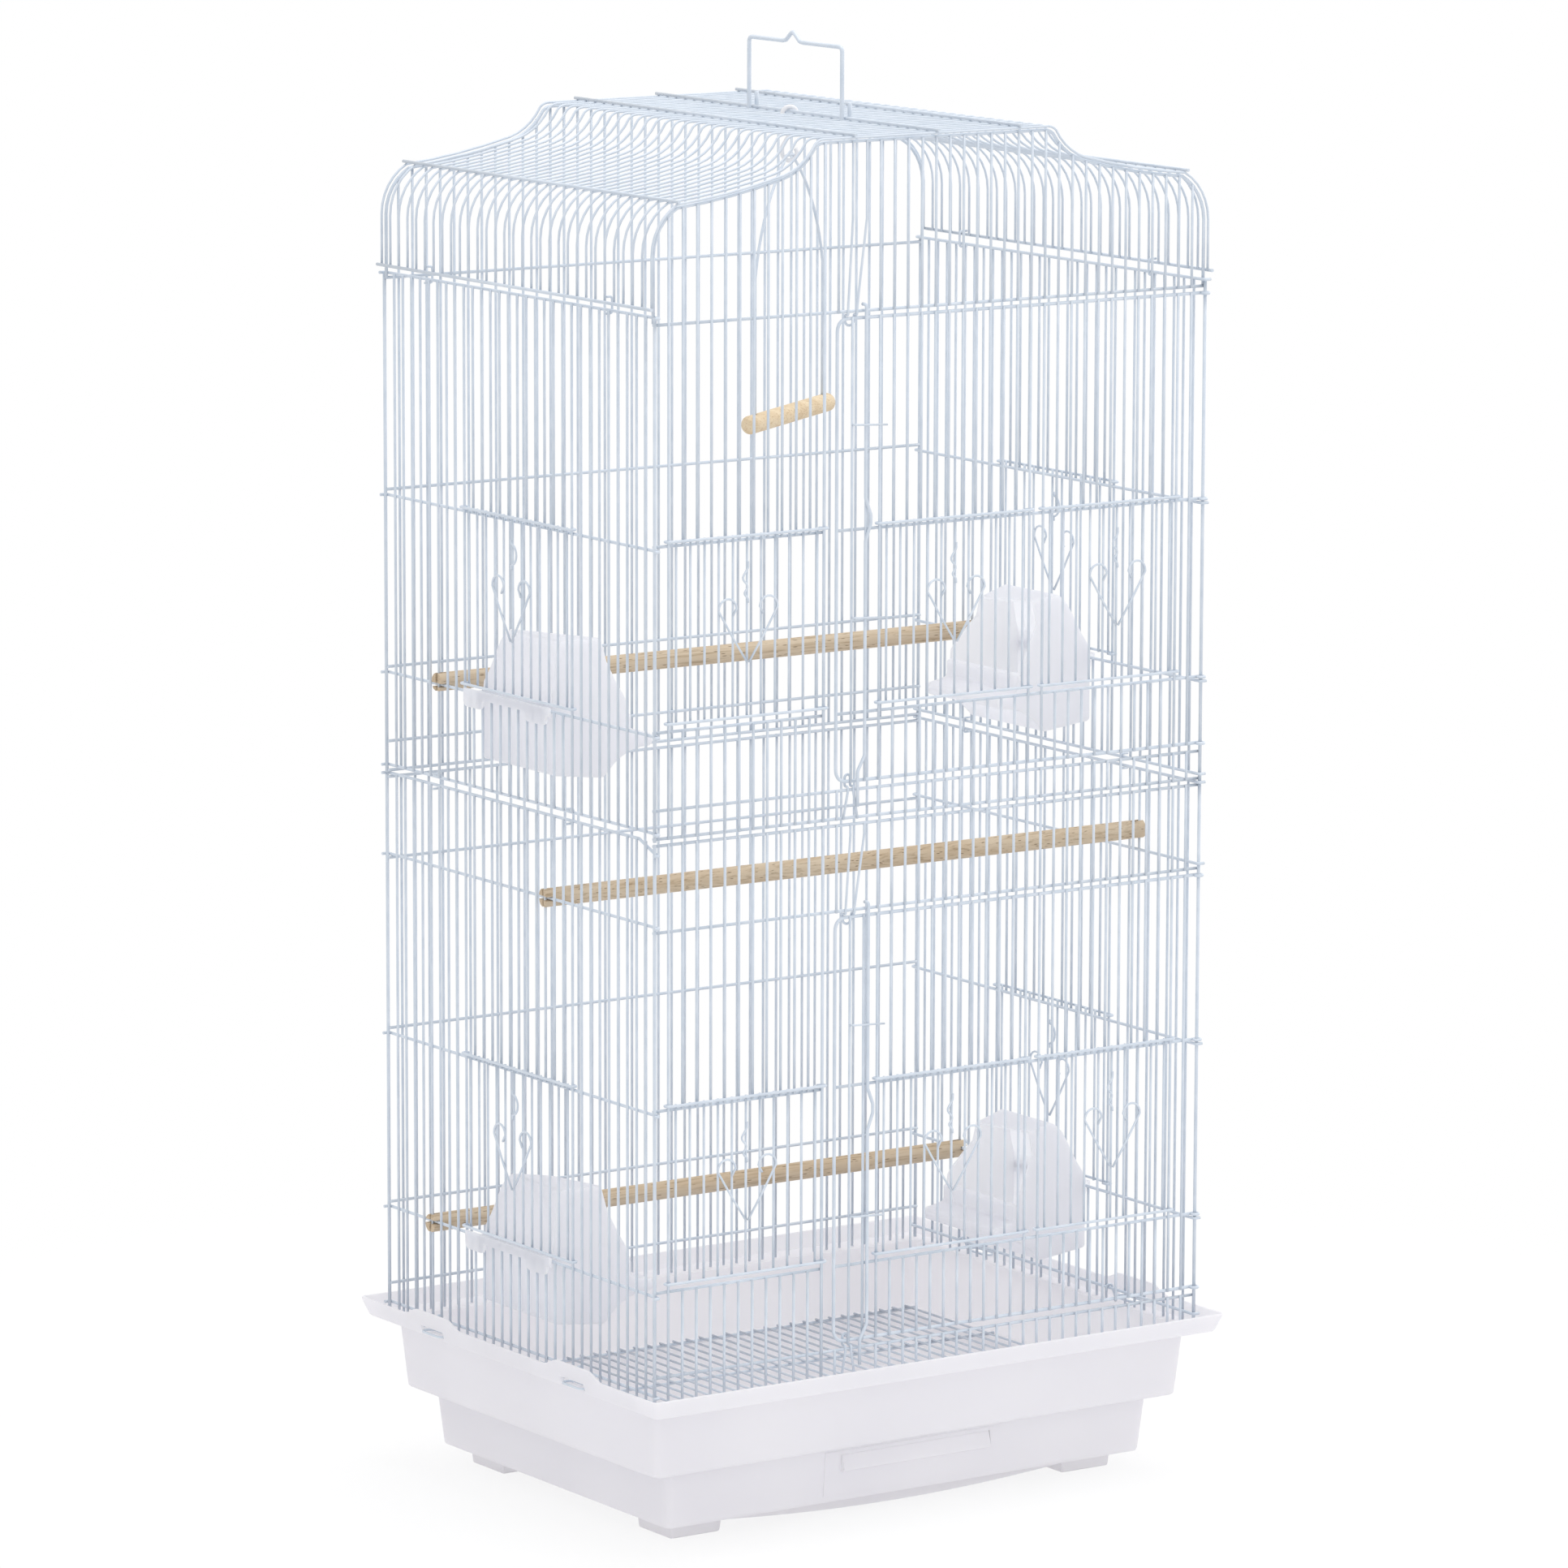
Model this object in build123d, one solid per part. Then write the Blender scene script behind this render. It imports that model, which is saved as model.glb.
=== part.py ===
from build123d import *
from math import cos, hypot, radians, sin, tan
import os

os.makedirs("parts", exist_ok=True)

# ---- the cage, mm: X along the front, -Y the front, +Z up from the floor ----
PITCH = 11.0  # between neighbouring upright wires
FRONT_GAPS = 40  # pitches across the front and the back
SIDE_GAPS = 30  # pitches along each side
HALF_X = PITCH * FRONT_GAPS / 2
HALF_Y = PITCH * SIDE_GAPS / 2
WIRE = 1.6  # upright wires
BAR = 2.0  # cross bars
POST = 2.4  # corner posts and frame wires
AIR = 0.3  # between wires that pass one another
LAP = BAR + 2 * AIR  # a side bar lies this far below the front bar it crosses
BACK_RISE = 1.5  # the back panels' bars sit this much higher than the front's
WELD_Y = HALF_Y - WIRE / 2  # plane where front and back bars meet their uprights
WELD_X = HALF_X - POST / 2 - 0.2  # the same plane of the side panels, clear of the posts

# ---- levels, each standing on the one below ----
PAN_FLOOR = 101.0  # the rim's gutter, where the uprights stand
SIDE_FIRST = PAN_FLOOR + 9
LOW_FIRST = PAN_FLOOR + 21.5
LOW_SILL = LOW_FIRST + 56.9
LOW_DOORWAY = 238.9  # from the small doors' sill to the large doorway's head, lower tier
UP_DOORWAY = 264.2  # the same, upper tier
LOW_HEAD = LOW_SILL + LOW_DOORWAY
LOW_TOP = LOW_HEAD + 57.2
UP_BOTTOM = LOW_TOP + 2 * BAR + 0.5  # the side panels' top bars lie between the two
UP_SECOND = UP_BOTTOM + 18.5
UP_SILL = UP_SECOND + 51
UP_TOP = UP_SILL + UP_DOORWAY
HATCH_GAP = 121.0  # sill to lintel of every small door
DOOR_DROP = 4.6  # large door's top wire below the panel's bar
DOOR_RISE = 5.8  # large door's bottom wire above the panel's bar
DOOR_CORNER = 9.0
DOOR_GAUGE = 13  # first gap of the large doors, counted from the left

# ---- small doors ----
HATCH_LOW = 5.5  # lower bar above the sill
HATCH_HIGH = 3.0  # upper bar above the lintel
HEART_TIP = 41.0  # above the sill
HEART_HALF = 23.0
HEART_RISE = 36.0
CURL = 7.0
PULL_Z = HATCH_GAP - 33

# ---- roof ----
EAVE_Z = UP_TOP + 10.3
SKIN_X = HALF_X + 2.2
SPRING_Z = EAVE_Z + 34
SHOULDER_X, SHOULDER_Z = HALF_X - 17.5, SPRING_Z + 32.5
OGEE_X, OGEE_Z = HALF_X - 100, SHOULDER_Z + 14.5
LIP_X, LIP_Z = OGEE_X - 24, OGEE_Z + 19
TOP_X, TOP_Z = LIP_X - 6, LIP_Z + 2.7
ROOF_BAR = 2.2
ROOF_BAR_X = TOP_X - 24  # the two outer bars on the flat top

# ---- base pan ----
WALL = 2.0
FOOT = 40.0
FOOT_H = 12.0
FOOT_X, FOOT_Y = HALF_X - 60, HALF_Y - 61
CORNER_FACETS = 5
DRAFT = 5.3  # the walls lean out by this much
RIM_LEAN = 20.7
LOW_BOX = (2 * HALF_X - 53, 2 * HALF_Y - 48)
STEP_Z = 52.0
HIGH_BOX = (2 * HALF_X - 14.4, 2 * HALF_Y - 17.3)
GUTTER = (2 * HALF_X + 13.1, 2 * HALF_Y + 27.7)
RIM_Z = PAN_FLOOR + 11
RIM_X = GUTTER[0] / 2 + WALL + (RIM_Z - PAN_FLOOR) * tan(radians(RIM_LEAN))
HUMP_H = 5.5  # the rim rises by this much over each clip's slot
HUMP_L = 72.0
HUMP_SLOPE = 18.0
HUMP_BACK = 13.0  # a hump's middle lies this far in front of its clip
GRATE_X, GRATE_Y = HALF_X - 13, HALF_Y - 19
PANEL_X = (-70.0, 66.0)  # the shallow panel in the front wall
PANEL_LOW, PANEL_HIGH = 3.0, 35.0
PANEL_DEEP = 1.2
RIB_X, RIB_Y = HALF_X - 82, 38 - HALF_Y


def front_x(k):
    return PITCH * k - HALF_X


def side_y(k):
    return PITCH * k - HALF_Y


# ---- fittings; a half between two numbers is midway between two uprights ----
HANDLE_D = 3.0
HANDLE_Z = TOP_Z + 50.3
SWING_TURN = 33.7
SWING_W = 120.0
SWING_Z = TOP_Z - 201.7
PERCH_D = 12.5
CLIP_Y = (side_y(24.5), side_y(8.5))
HOOK_Y = side_y(25)
LEFT_TIES = (side_y(24.5), side_y(9.5))
RIGHT_TIES = (side_y(24.5) - 0.5, side_y(7.5) + 1.5)
V_WIRES = (14, 15)  # lean together at the large doors' latches
V_FOOT = (front_x(14) - 3.5, front_x(14) + 3.5)  # above a door
V_HEAD = (front_x(14) - 2.3, front_x(14) + 2.1)  # below a door
V_SPREAD = (front_x(14) - 6, front_x(14) + 5.5)
CATCH_DROP, CATCH_RISE = 9.5, 10.0  # tips of their loops, from the panel's bar
PASS = BAR / 2 + AIR + WIRE / 2 + 0.2  # a loop passes this far from that bar, clear of the door
ROD_D = 2.0
UP_ROD_X, LOW_ROD_X = front_x(15) - 1.6, front_x(15) + 2.1
UP_STAPLES = (UP_TOP - 73.7, UP_SILL + 63.5)
LOW_STAPLES = (LOW_HEAD - 76.3, LOW_SILL + 33.6)
UP_KINK, LOW_KINK = UP_TOP - 136.7, LOW_HEAD - 134.3  # a latch's finger kink
UP_JOG, LOW_JOG = UP_SECOND + 12.5, LOW_FIRST + 6  # where a latch's foot steps aside


def box(x0, x1, y0, y1, z0, z1):
    return Pos((x0 + x1) / 2, (y0 + y1) / 2, (z0 + z1) / 2) * Box(x1 - x0, y1 - y0, z1 - z0)


def arc(p, q, turn, n):
    """Points from p to q along the arc whose direction turns by `turn` degrees."""
    dx, dz = q[0] - p[0], q[1] - p[1]
    points = []
    for i in range(1, n + 1):
        part = i / n
        chord = sin(radians(turn * part / 2)) / sin(radians(turn / 2))
        lean = radians(turn * (part - 1) / 2)
        points.append((
            p[0] + chord * (dx * cos(lean) - dz * sin(lean)),
            p[1] + chord * (dx * sin(lean) + dz * cos(lean)),
        ))
    return points


def ribbon(path, wide, deep):
    """A flat wire along a path in the XY plane, from z = 0 up to `deep`."""
    left, right = [], []
    for i, (x, y) in enumerate(path):
        ax, ay = path[max(i - 1, 0)]
        bx, by = path[min(i + 1, len(path) - 1)]
        u = (x - ax, y - ay) if i else (bx - x, by - y)
        v = (bx - x, by - y) if i < len(path) - 1 else u
        lu, lv = hypot(*u), hypot(*v)
        nx, ny = -(u[1] / lu + v[1] / lv), u[0] / lu + v[0] / lv
        half = wide / (nx * nx + ny * ny)
        left.append((x + nx * half, y + ny * half))
        right.append((x - nx * half, y - ny * half))
    outline = Wire.make_polygon([Vector(*p, 0) for p in left + right[::-1]], close=True)
    return extrude(Face(outline), deep, dir=(0, 0, 1))


def in_xz(shape, y_back):
    """Stands an XY shape up in the XZ plane; its underside comes to y_back."""
    return Pos(0, y_back, 0) * Rot(90, 0, 0) * shape


def in_yz(shape, x_low):
    """Stands an XY shape up in the YZ plane, growing towards +X."""
    return Pos(x_low, 0, 0) * Rot(0, 0, 90) * Rot(90, 0, 0) * shape


def save(name, *shapes):
    solids = [s for shape in shapes for s in shape.solids()]
    export_step(Compound(children=solids), "parts/" + name + ".step")


class Front:
    """Wires of a panel facing -Y (way = -1, the front) or +Y (way = 1, the back)."""

    def __init__(self, way):
        self.way = way

    def span(self, inner, outer):
        a, b = self.way * inner, self.way * outer
        return min(a, b), max(a, b)

    def block(self, u0, u1, inner, outer, z0, z1):
        return box(u0, u1, *self.span(inner, outer), z0, z1)

    def upright(self, u, z0, z1, wide=WIRE, deep=WIRE):
        return self.block(u - wide / 2, u + wide / 2, WELD_Y, WELD_Y + deep, z0, z1)

    def cross(self, z, u0, u1, gauge=BAR):
        return self.block(u0, u1, WELD_Y - gauge, WELD_Y, z - gauge / 2, z + gauge / 2)

    def flat(self, path, gauge, inner):
        """A wire bent in the panel's own plane."""
        low, high = self.span(inner, inner + gauge)
        return in_xz(ribbon(path, gauge, high - low), high)


class Side(Front):
    """Wires of a panel facing -X (way = -1) or +X (way = 1)."""

    def block(self, u0, u1, inner, outer, z0, z1):
        return box(*self.span(inner, outer), u0, u1, z0, z1)

    def upright(self, u, z0, z1, wide=WIRE, deep=WIRE):
        return self.block(u - wide / 2, u + wide / 2, WELD_X, WELD_X + deep, z0, z1)

    def cross(self, z, u0, u1, gauge=BAR):
        return self.block(u0, u1, WELD_X - gauge, WELD_X, z - gauge / 2, z + gauge / 2)

    def flat(self, path, gauge, inner):
        low, high = self.span(inner, inner + gauge)
        return in_yz(ribbon(path, gauge, high - low), low)


def half_roof(out):
    """Half of the roof line, moved in by `out`, from the eave to the flat top."""
    return (
        [(SKIN_X - out, EAVE_Z), (SKIN_X - out, SPRING_Z)]
        + arc((SKIN_X - out, SPRING_Z), (SHOULDER_X - out / 2, SHOULDER_Z - out), 62, 2)
        + [(OGEE_X, OGEE_Z - out)]
        + arc((OGEE_X, OGEE_Z - out), (LIP_X - out / 2, LIP_Z - out), -44, 2)
        + [(TOP_X - out, TOP_Z - out)]
    )


def roof_line(out):
    half = half_roof(out)
    return half + [(-x, z) for x, z in half[::-1]]


def roof_height(u, out):
    half = half_roof(out)
    for (x0, z0), (x1, z1) in zip(half, half[1:]):
        if x1 <= abs(u) <= x0 and x0 > x1:
            return z0 + (z1 - z0) * (x0 - abs(u)) / (x0 - x1)
    return TOP_Z - out


# ---- the front's doorways: (gap of the left guide, gap of the right guide) ----
LEFT_HATCH = (1, 12)
MID_HATCH = (16, 27)
RIGHT_HATCH = (28, 38)
SIDE_HATCH = (9, 21)
DOOR_X = front_x(DOOR_GAUGE)
FRAME_X = front_x(DOOR_GAUGE - 1)


def posts(panel, z0, z1):
    """Two corner posts; the doors' eyes turn on the front right one, so it is round."""
    left_post = panel.upright(-HALF_X, z0, z1, POST, POST)
    if panel.way > 0:
        return [left_post, panel.upright(HALF_X, z0, z1, POST, POST)]
    pin = Pos(HALF_X, -(WELD_Y + POST / 2), (z0 + z1) / 2) * Cylinder(POST / 2, z1 - z0)
    return [left_post, pin]


def skirt(panel, z0, z1, first=1, leaning=()):
    """The upright wires between two bars, from gap `first` to the right post."""
    wires = []
    for k in range(first, FRONT_GAPS):
        if k not in leaning:
            wires.append(panel.upright(front_x(k), z0, z1))
    return wires


def catch(panel, feet, bar, tip):
    """A loop behind the large door's edge wire; it joins the two wires beside the latch."""
    way = 1 if tip > bar else -1
    near = bar + way * PASS
    inner = WELD_Y - BAR - AIR - WIRE
    parts = []
    for u in feet:
        parts.append(panel.block(u - WIRE / 2, u + WIRE / 2, inner, WELD_Y, near - WIRE / 2, near + WIRE / 2))
    bend = tip - way * (feet[1] - feet[0]) / 2
    path = [(feet[0], near + way * WIRE / 2), (feet[0], bend)]
    path += arc((feet[0], bend), (feet[1], bend), -way * 180, 4)
    path.append((feet[1], near + way * WIRE / 2))
    parts.append(panel.flat(path, WIRE, inner))
    return parts


def leaning_pair(panel, foot, tops):
    """The two wires that lean together over a large door's latch, and their catch loop."""
    wires = catch(panel, V_FOOT, foot, foot - CATCH_DROP)
    for k, u0, top in zip(V_WIRES, V_FOOT, tops):
        u = front_x(k)
        bend = foot + (60 if top - foot > 60 else 50)
        path = [(u0, foot - PASS - WIRE / 2), (u0, foot), (u, bend), (u, top)]
        wires.append(panel.flat(path, WIRE, WELD_Y))
    return wires


def keeper(panel, bottom, bar):
    """The same two wires below a large door, which end in a loop beside the latch's foot."""
    wires = catch(panel, V_HEAD, bar, bar + CATCH_RISE)
    for u0, u1 in zip(V_SPREAD, V_HEAD):
        path = [(u0, bottom), (u1, bar), (u1, bar + PASS + WIRE / 2)]
        wires.append(panel.flat(path, WIRE, WELD_Y))
    return wires


def fixed_bay(panel, bottom, sill, ends):
    """The front panel left of the large door, with its own small doorway; ends(k) is a wire's top."""
    lintel = sill + HATCH_GAP
    wires = [panel.cross(z, -HALF_X, FRAME_X) for z in (sill, lintel)]
    for k in range(1, DOOR_GAUGE):
        u = front_x(k)
        gauge = POST if k == DOOR_GAUGE - 1 else WIRE
        if k in LEFT_HATCH:
            wires.append(panel.upright(u, bottom, ends(k), gauge))
        else:
            wires.append(panel.upright(u, bottom, sill))
            wires.append(panel.upright(u, lintel, ends(k)))
    return wires


front, back = Front(-1), Front(1)
left, right = Side(-1), Side(1)

# ---- lower tier, front and back ----
wires = [front.cross(z, -HALF_X, HALF_X) for z in (LOW_FIRST, LOW_HEAD, LOW_TOP)]
wires += posts(front, PAN_FLOOR + AIR, LOW_TOP + BAR)
wires += fixed_bay(front, PAN_FLOOR + AIR, LOW_SILL, lambda k: LOW_TOP)
wires += skirt(front, PAN_FLOOR + AIR, LOW_FIRST, DOOR_GAUGE, V_WIRES)
wires += keeper(front, PAN_FLOOR + AIR, LOW_FIRST)
wires += skirt(front, LOW_HEAD, LOW_TOP, DOOR_GAUGE, V_WIRES)
wires += leaning_pair(front, LOW_HEAD, (LOW_TOP, LOW_TOP))
save("lower_front_panel", *wires)

LOW_BACK = [z + BACK_RISE for z in (LOW_FIRST, LOW_SILL, LOW_SILL + HATCH_GAP, LOW_HEAD)]
wires = [back.cross(z, -HALF_X, HALF_X) for z in LOW_BACK + [LOW_TOP]]
wires += posts(back, PAN_FLOOR + AIR, LOW_TOP + BAR)
wires += skirt(back, PAN_FLOOR + AIR, LOW_TOP)
save("lower_back_panel", *wires)

# ---- upper tier, front and back: the uprights run on up to the roof's arch ----
ARCH_IN = (WIRE + POST) / 2 + AIR  # the arch wire lies just inside the skin


def arch(panel):
    line = roof_line(ARCH_IN)
    line[0] = (HALF_X, UP_TOP + BAR)
    line[-1] = (-HALF_X, UP_TOP + BAR)
    return panel.flat(line, POST, WELD_Y - POST)


wires = [front.cross(z, -HALF_X, HALF_X) for z in (UP_BOTTOM, UP_SECOND, UP_TOP)]
wires += posts(front, UP_BOTTOM - BAR, UP_TOP + BAR)
wires += fixed_bay(front, UP_BOTTOM, UP_SILL, lambda k: roof_height(front_x(k), ARCH_IN))
wires += skirt(front, UP_BOTTOM, UP_SECOND, DOOR_GAUGE, V_WIRES)
wires += keeper(front, UP_BOTTOM, UP_SECOND)
wires.append(arch(front))
for k in range(DOOR_GAUGE, FRONT_GAPS):
    if k not in V_WIRES:
        wires.append(front.upright(front_x(k), UP_TOP, roof_height(front_x(k), ARCH_IN)))
tops = [roof_height(front_x(k), ARCH_IN) for k in V_WIRES]
wires += leaning_pair(front, UP_TOP, tops)
save("upper_front_panel", *wires)

UP_BACK = [z + BACK_RISE for z in (UP_SECOND, UP_SILL, UP_SILL + HATCH_GAP, UP_TOP)]
wires = [back.cross(z, -HALF_X, HALF_X) for z in [UP_BOTTOM] + UP_BACK]
wires += posts(back, UP_BOTTOM - BAR, UP_TOP + BAR)
wires.append(arch(back))
for k in range(1, FRONT_GAPS):
    wires.append(back.upright(front_x(k), UP_BOTTOM, roof_height(front_x(k), ARCH_IN)))
save("upper_back_panel", *wires)

# ---- side panels: every bar runs past the corners and hooks round the posts ----
HOOK_IN = WELD_Y + POST + AIR


def hooked_bar(panel, z):
    """A side panel's bar whose two ends hook round the corner posts; the base clips turn on the
    lowest one, so it is round between the posts."""
    reach = HOOK_IN + BAR
    low, high = z - BAR / 2, z + BAR / 2
    tip = HALF_X + POST / 2 + AIR
    if z == SIDE_FIRST:
        axle = Rot(90, 0, 0) * Cylinder(BAR / 2, 2 * HOOK_IN)
        parts = [Pos(panel.way * (WELD_X - BAR / 2), 0, z) * axle]
        for way in (-1, 1):
            y0, y1 = sorted((way * HOOK_IN, way * reach))
            parts.append(panel.cross(z, y0, y1))
    else:
        parts = [panel.cross(z, -reach, reach)]
    for y0, y1 in ((-reach, -HOOK_IN), (HOOK_IN, reach)):
        parts.append(panel.block(y0, y1, WELD_X, tip + BAR, low, high))
    return parts


def side_panel(panel, levels, sill, z0, z1):
    lintel = sill + HATCH_GAP
    wires = []
    for z in levels:
        wires += hooked_bar(panel, z)
    for k in range(1, SIDE_GAPS):
        if SIDE_HATCH[0] < k < SIDE_HATCH[1]:
            wires.append(panel.upright(side_y(k), z0, sill))
            wires.append(panel.upright(side_y(k), lintel, z1))
        else:
            wires.append(panel.upright(side_y(k), z0, z1))
    return wires


LOW_SIDE_SILL = LOW_SILL - LAP
UP_SIDE_SILL = UP_SILL - LAP
LOW_SIDE_TOP = (LOW_TOP + UP_BOTTOM) / 2
LOW_SIDE_HEAD = LOW_HEAD + BACK_RISE + BAR + 0.2
UP_SIDE_TOP = UP_TOP + 4.7
low_levels = (SIDE_FIRST, LOW_SIDE_SILL, LOW_SIDE_SILL + HATCH_GAP, LOW_SIDE_HEAD, LOW_SIDE_TOP)
up_levels = (UP_BOTTOM + 3.5, UP_SIDE_SILL, UP_SIDE_SILL + HATCH_GAP, UP_SIDE_TOP)
for name, panel in (("left", left), ("right", right)):
    wires = side_panel(panel, low_levels, LOW_SIDE_SILL, PAN_FLOOR + AIR, LOW_SIDE_TOP)
    save("lower_" + name + "_panel", *wires)
    wires = side_panel(panel, up_levels, UP_SIDE_SILL, up_levels[0], UP_SIDE_TOP)
    save("upper_" + name + "_panel", *wires)

# ---- roof skin: one bent wire over every side upright, on seven long bars ----
wires = []
for k in range(SIDE_GAPS + 1):
    wires.append(in_xz(ribbon(roof_line(0), WIRE, WIRE), side_y(k) + WIRE / 2))
BAR_Y = HALF_Y + 3
SKIN_TOP = TOP_Z + WIRE / 2
wires.append(Pos(0, 0, SKIN_TOP + ROOF_BAR / 2) * Rot(90, 0, 0) * Cylinder(ROOF_BAR / 2, 2 * BAR_Y))
for x in (-ROOF_BAR_X, ROOF_BAR_X):
    wires.append(box(x - ROOF_BAR / 2, x + ROOF_BAR / 2, -BAR_Y, BAR_Y, SKIN_TOP, SKIN_TOP + ROOF_BAR))
EAVE_BAR = SKIN_X + WIRE / 2
for way in (-1, 1):
    x0, x1 = sorted((way * EAVE_BAR, way * (EAVE_BAR + ROOF_BAR)))
    wires.append(box(x0, x1, -BAR_Y, BAR_Y, EAVE_Z - 1, EAVE_Z - 1 + ROOF_BAR))
    lean = Pos(way * SHOULDER_X, 0, SHOULDER_Z) * Rot(0, way * 18, 0)
    wires.append(lean * Pos(0, 0, (WIRE + ROOF_BAR) / 2) * Box(ROOF_BAR, 2 * BAR_Y, ROOF_BAR))
save("roof_skin", *wires)

# ---- hooks that tie the roof to the side panels, and tier to tier ----


def tie(panel, u, low, high, inner):
    """A flat wire loop that goes round two bars, one above the other."""
    z0, z1 = low - BAR / 2 - AIR, high + BAR / 2 + AIR
    outer = inner + 5.5
    return [
        panel.block(u - WIRE, u, inner, outer, z0 - WIRE, z0),
        panel.block(u - WIRE, u, inner, outer, z1, z1 + WIRE),
        panel.block(u - WIRE, u, inner - WIRE, inner, z0 - WIRE, z1 + WIRE),
    ]


hooks = []
for panel in (left, right):
    for y in (-HOOK_Y, HOOK_Y):
        hooks += tie(panel, y + 1.5 * WIRE + 0.1, UP_SIDE_TOP, EAVE_Z + 1, WELD_X - BAR - AIR)
save("roof_hooks", *hooks)

hooks = []
for panel, spots in ((left, LEFT_TIES), (right, RIGHT_TIES)):
    for y in spots:
        hooks += tie(panel, y, LOW_SIDE_TOP, up_levels[0], WELD_X - BAR - AIR)
save("tier_hooks", *hooks)

# ---- large doors ----


def eye_bar(z, u0):
    """A door's bar with its closed eye round the corner post."""
    centre = -(WELD_Y + POST / 2)
    bore = POST / 2 + AIR
    arm = front.cross(z, u0, HALF_X)
    ring = Pos(HALF_X, centre, z - BAR / 2) * extrude(RegularPolygon(bore + WIRE, 8, False), BAR)
    return arm + ring - Pos(HALF_X, centre, z) * Cylinder(bore, 2 * BAR)


def large_door(bottom, sill, top):
    low, high, lintel = bottom + DOOR_RISE, top - DOOR_DROP, sill + HATCH_GAP
    wires = [eye_bar(z, DOOR_X + DOOR_CORNER) for z in (low, high)]
    wires += [eye_bar(z, DOOR_X) for z in (sill, lintel)]
    edge_low, edge_high = low + DOOR_CORNER, high - DOOR_CORNER
    inner = WELD_Y - BAR
    wires.append(front.block(DOOR_X - BAR / 2, DOOR_X + BAR / 2, inner, WELD_Y, edge_low, edge_high))
    near = DOOR_X + DOOR_CORNER
    bend = [(DOOR_X, edge_low)] + arc((DOOR_X, edge_low), (near, low), 90, 3)
    wires.append(front.flat(bend, BAR, inner))
    bend = [(DOOR_X, edge_high)] + arc((DOOR_X, edge_high), (near, high), -90, 3)
    wires.append(front.flat(bend, BAR, inner))
    for k in range(DOOR_GAUGE + 1, FRONT_GAPS):
        open_mid = MID_HATCH[0] < k < MID_HATCH[1]
        open_right = RIGHT_HATCH[0] < k < RIGHT_HATCH[1]
        if open_mid or open_right:
            wires.append(front.upright(front_x(k), low, sill))
            wires.append(front.upright(front_x(k), lintel, high))
        else:
            wires.append(front.upright(front_x(k), low, high))
    return wires


STAPLE_OUT = WELD_Y + WIRE + AIR + ROD_D + AIR


def staple(z, rod_x):
    """A small bridge on the door that keeps the latch rod in place."""
    near, far = front_x(14) - WIRE / 2, front_x(16) + 3
    beside = front_x(15) - WIRE / 2
    if rod_x < front_x(15):
        beside = rod_x + ROD_D / 2 + AIR
    low, high = z - WIRE / 2, z + WIRE / 2
    parts = [front.block(near, far, STAPLE_OUT, STAPLE_OUT + WIRE, low, high)]
    for x in (near, beside):
        parts.append(front.block(x, x + WIRE, WELD_Y + WIRE, STAPLE_OUT, low, high))
    return parts


for name, x, heights, levels in (
    ("upper_door", UP_ROD_X, UP_STAPLES, (UP_SECOND, UP_SILL, UP_TOP)),
    ("lower_door", LOW_ROD_X, LOW_STAPLES, (LOW_FIRST, LOW_SILL, LOW_HEAD)),
):
    wires = large_door(*levels)
    for z in heights:
        wires += staple(z, x)
    save(name, *wires)

# ---- latch rods: a long wire with a finger kink; its top rests over the panel's bar ----
ROD_IN = WELD_Y + WIRE + AIR
ROD_REST = 3.2  # the hook's underside above the bar's middle


def latch_rod(rod_x, bottom, jog, kink, top):
    path = [
        (rod_x - 5.5, bottom - 11),
        (rod_x - 5.5, jog),
        (rod_x, jog + 10),
        (rod_x, kink - 14),
        (rod_x + 4.2, kink - 3),
        (rod_x + 4.2, kink + 3),
        (rod_x, kink + 14),
        (rod_x, top + ROD_REST),
    ]
    rod = front.flat(path, ROD_D, ROD_IN)
    over = ribbon([(rod_x, -ROD_IN - 0.6), (rod_x, -WELD_Y + 1.2)], ROD_D, ROD_D)
    return rod, Pos(0, 0, top + ROD_REST) * over


save("upper_latch", *latch_rod(UP_ROD_X, UP_SECOND, UP_JOG, UP_KINK, UP_TOP))
save("lower_latch", *latch_rod(LOW_ROD_X, LOW_FIRST, LOW_JOG, LOW_KINK, LOW_HEAD))

# ---- small lift doors ----


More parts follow.
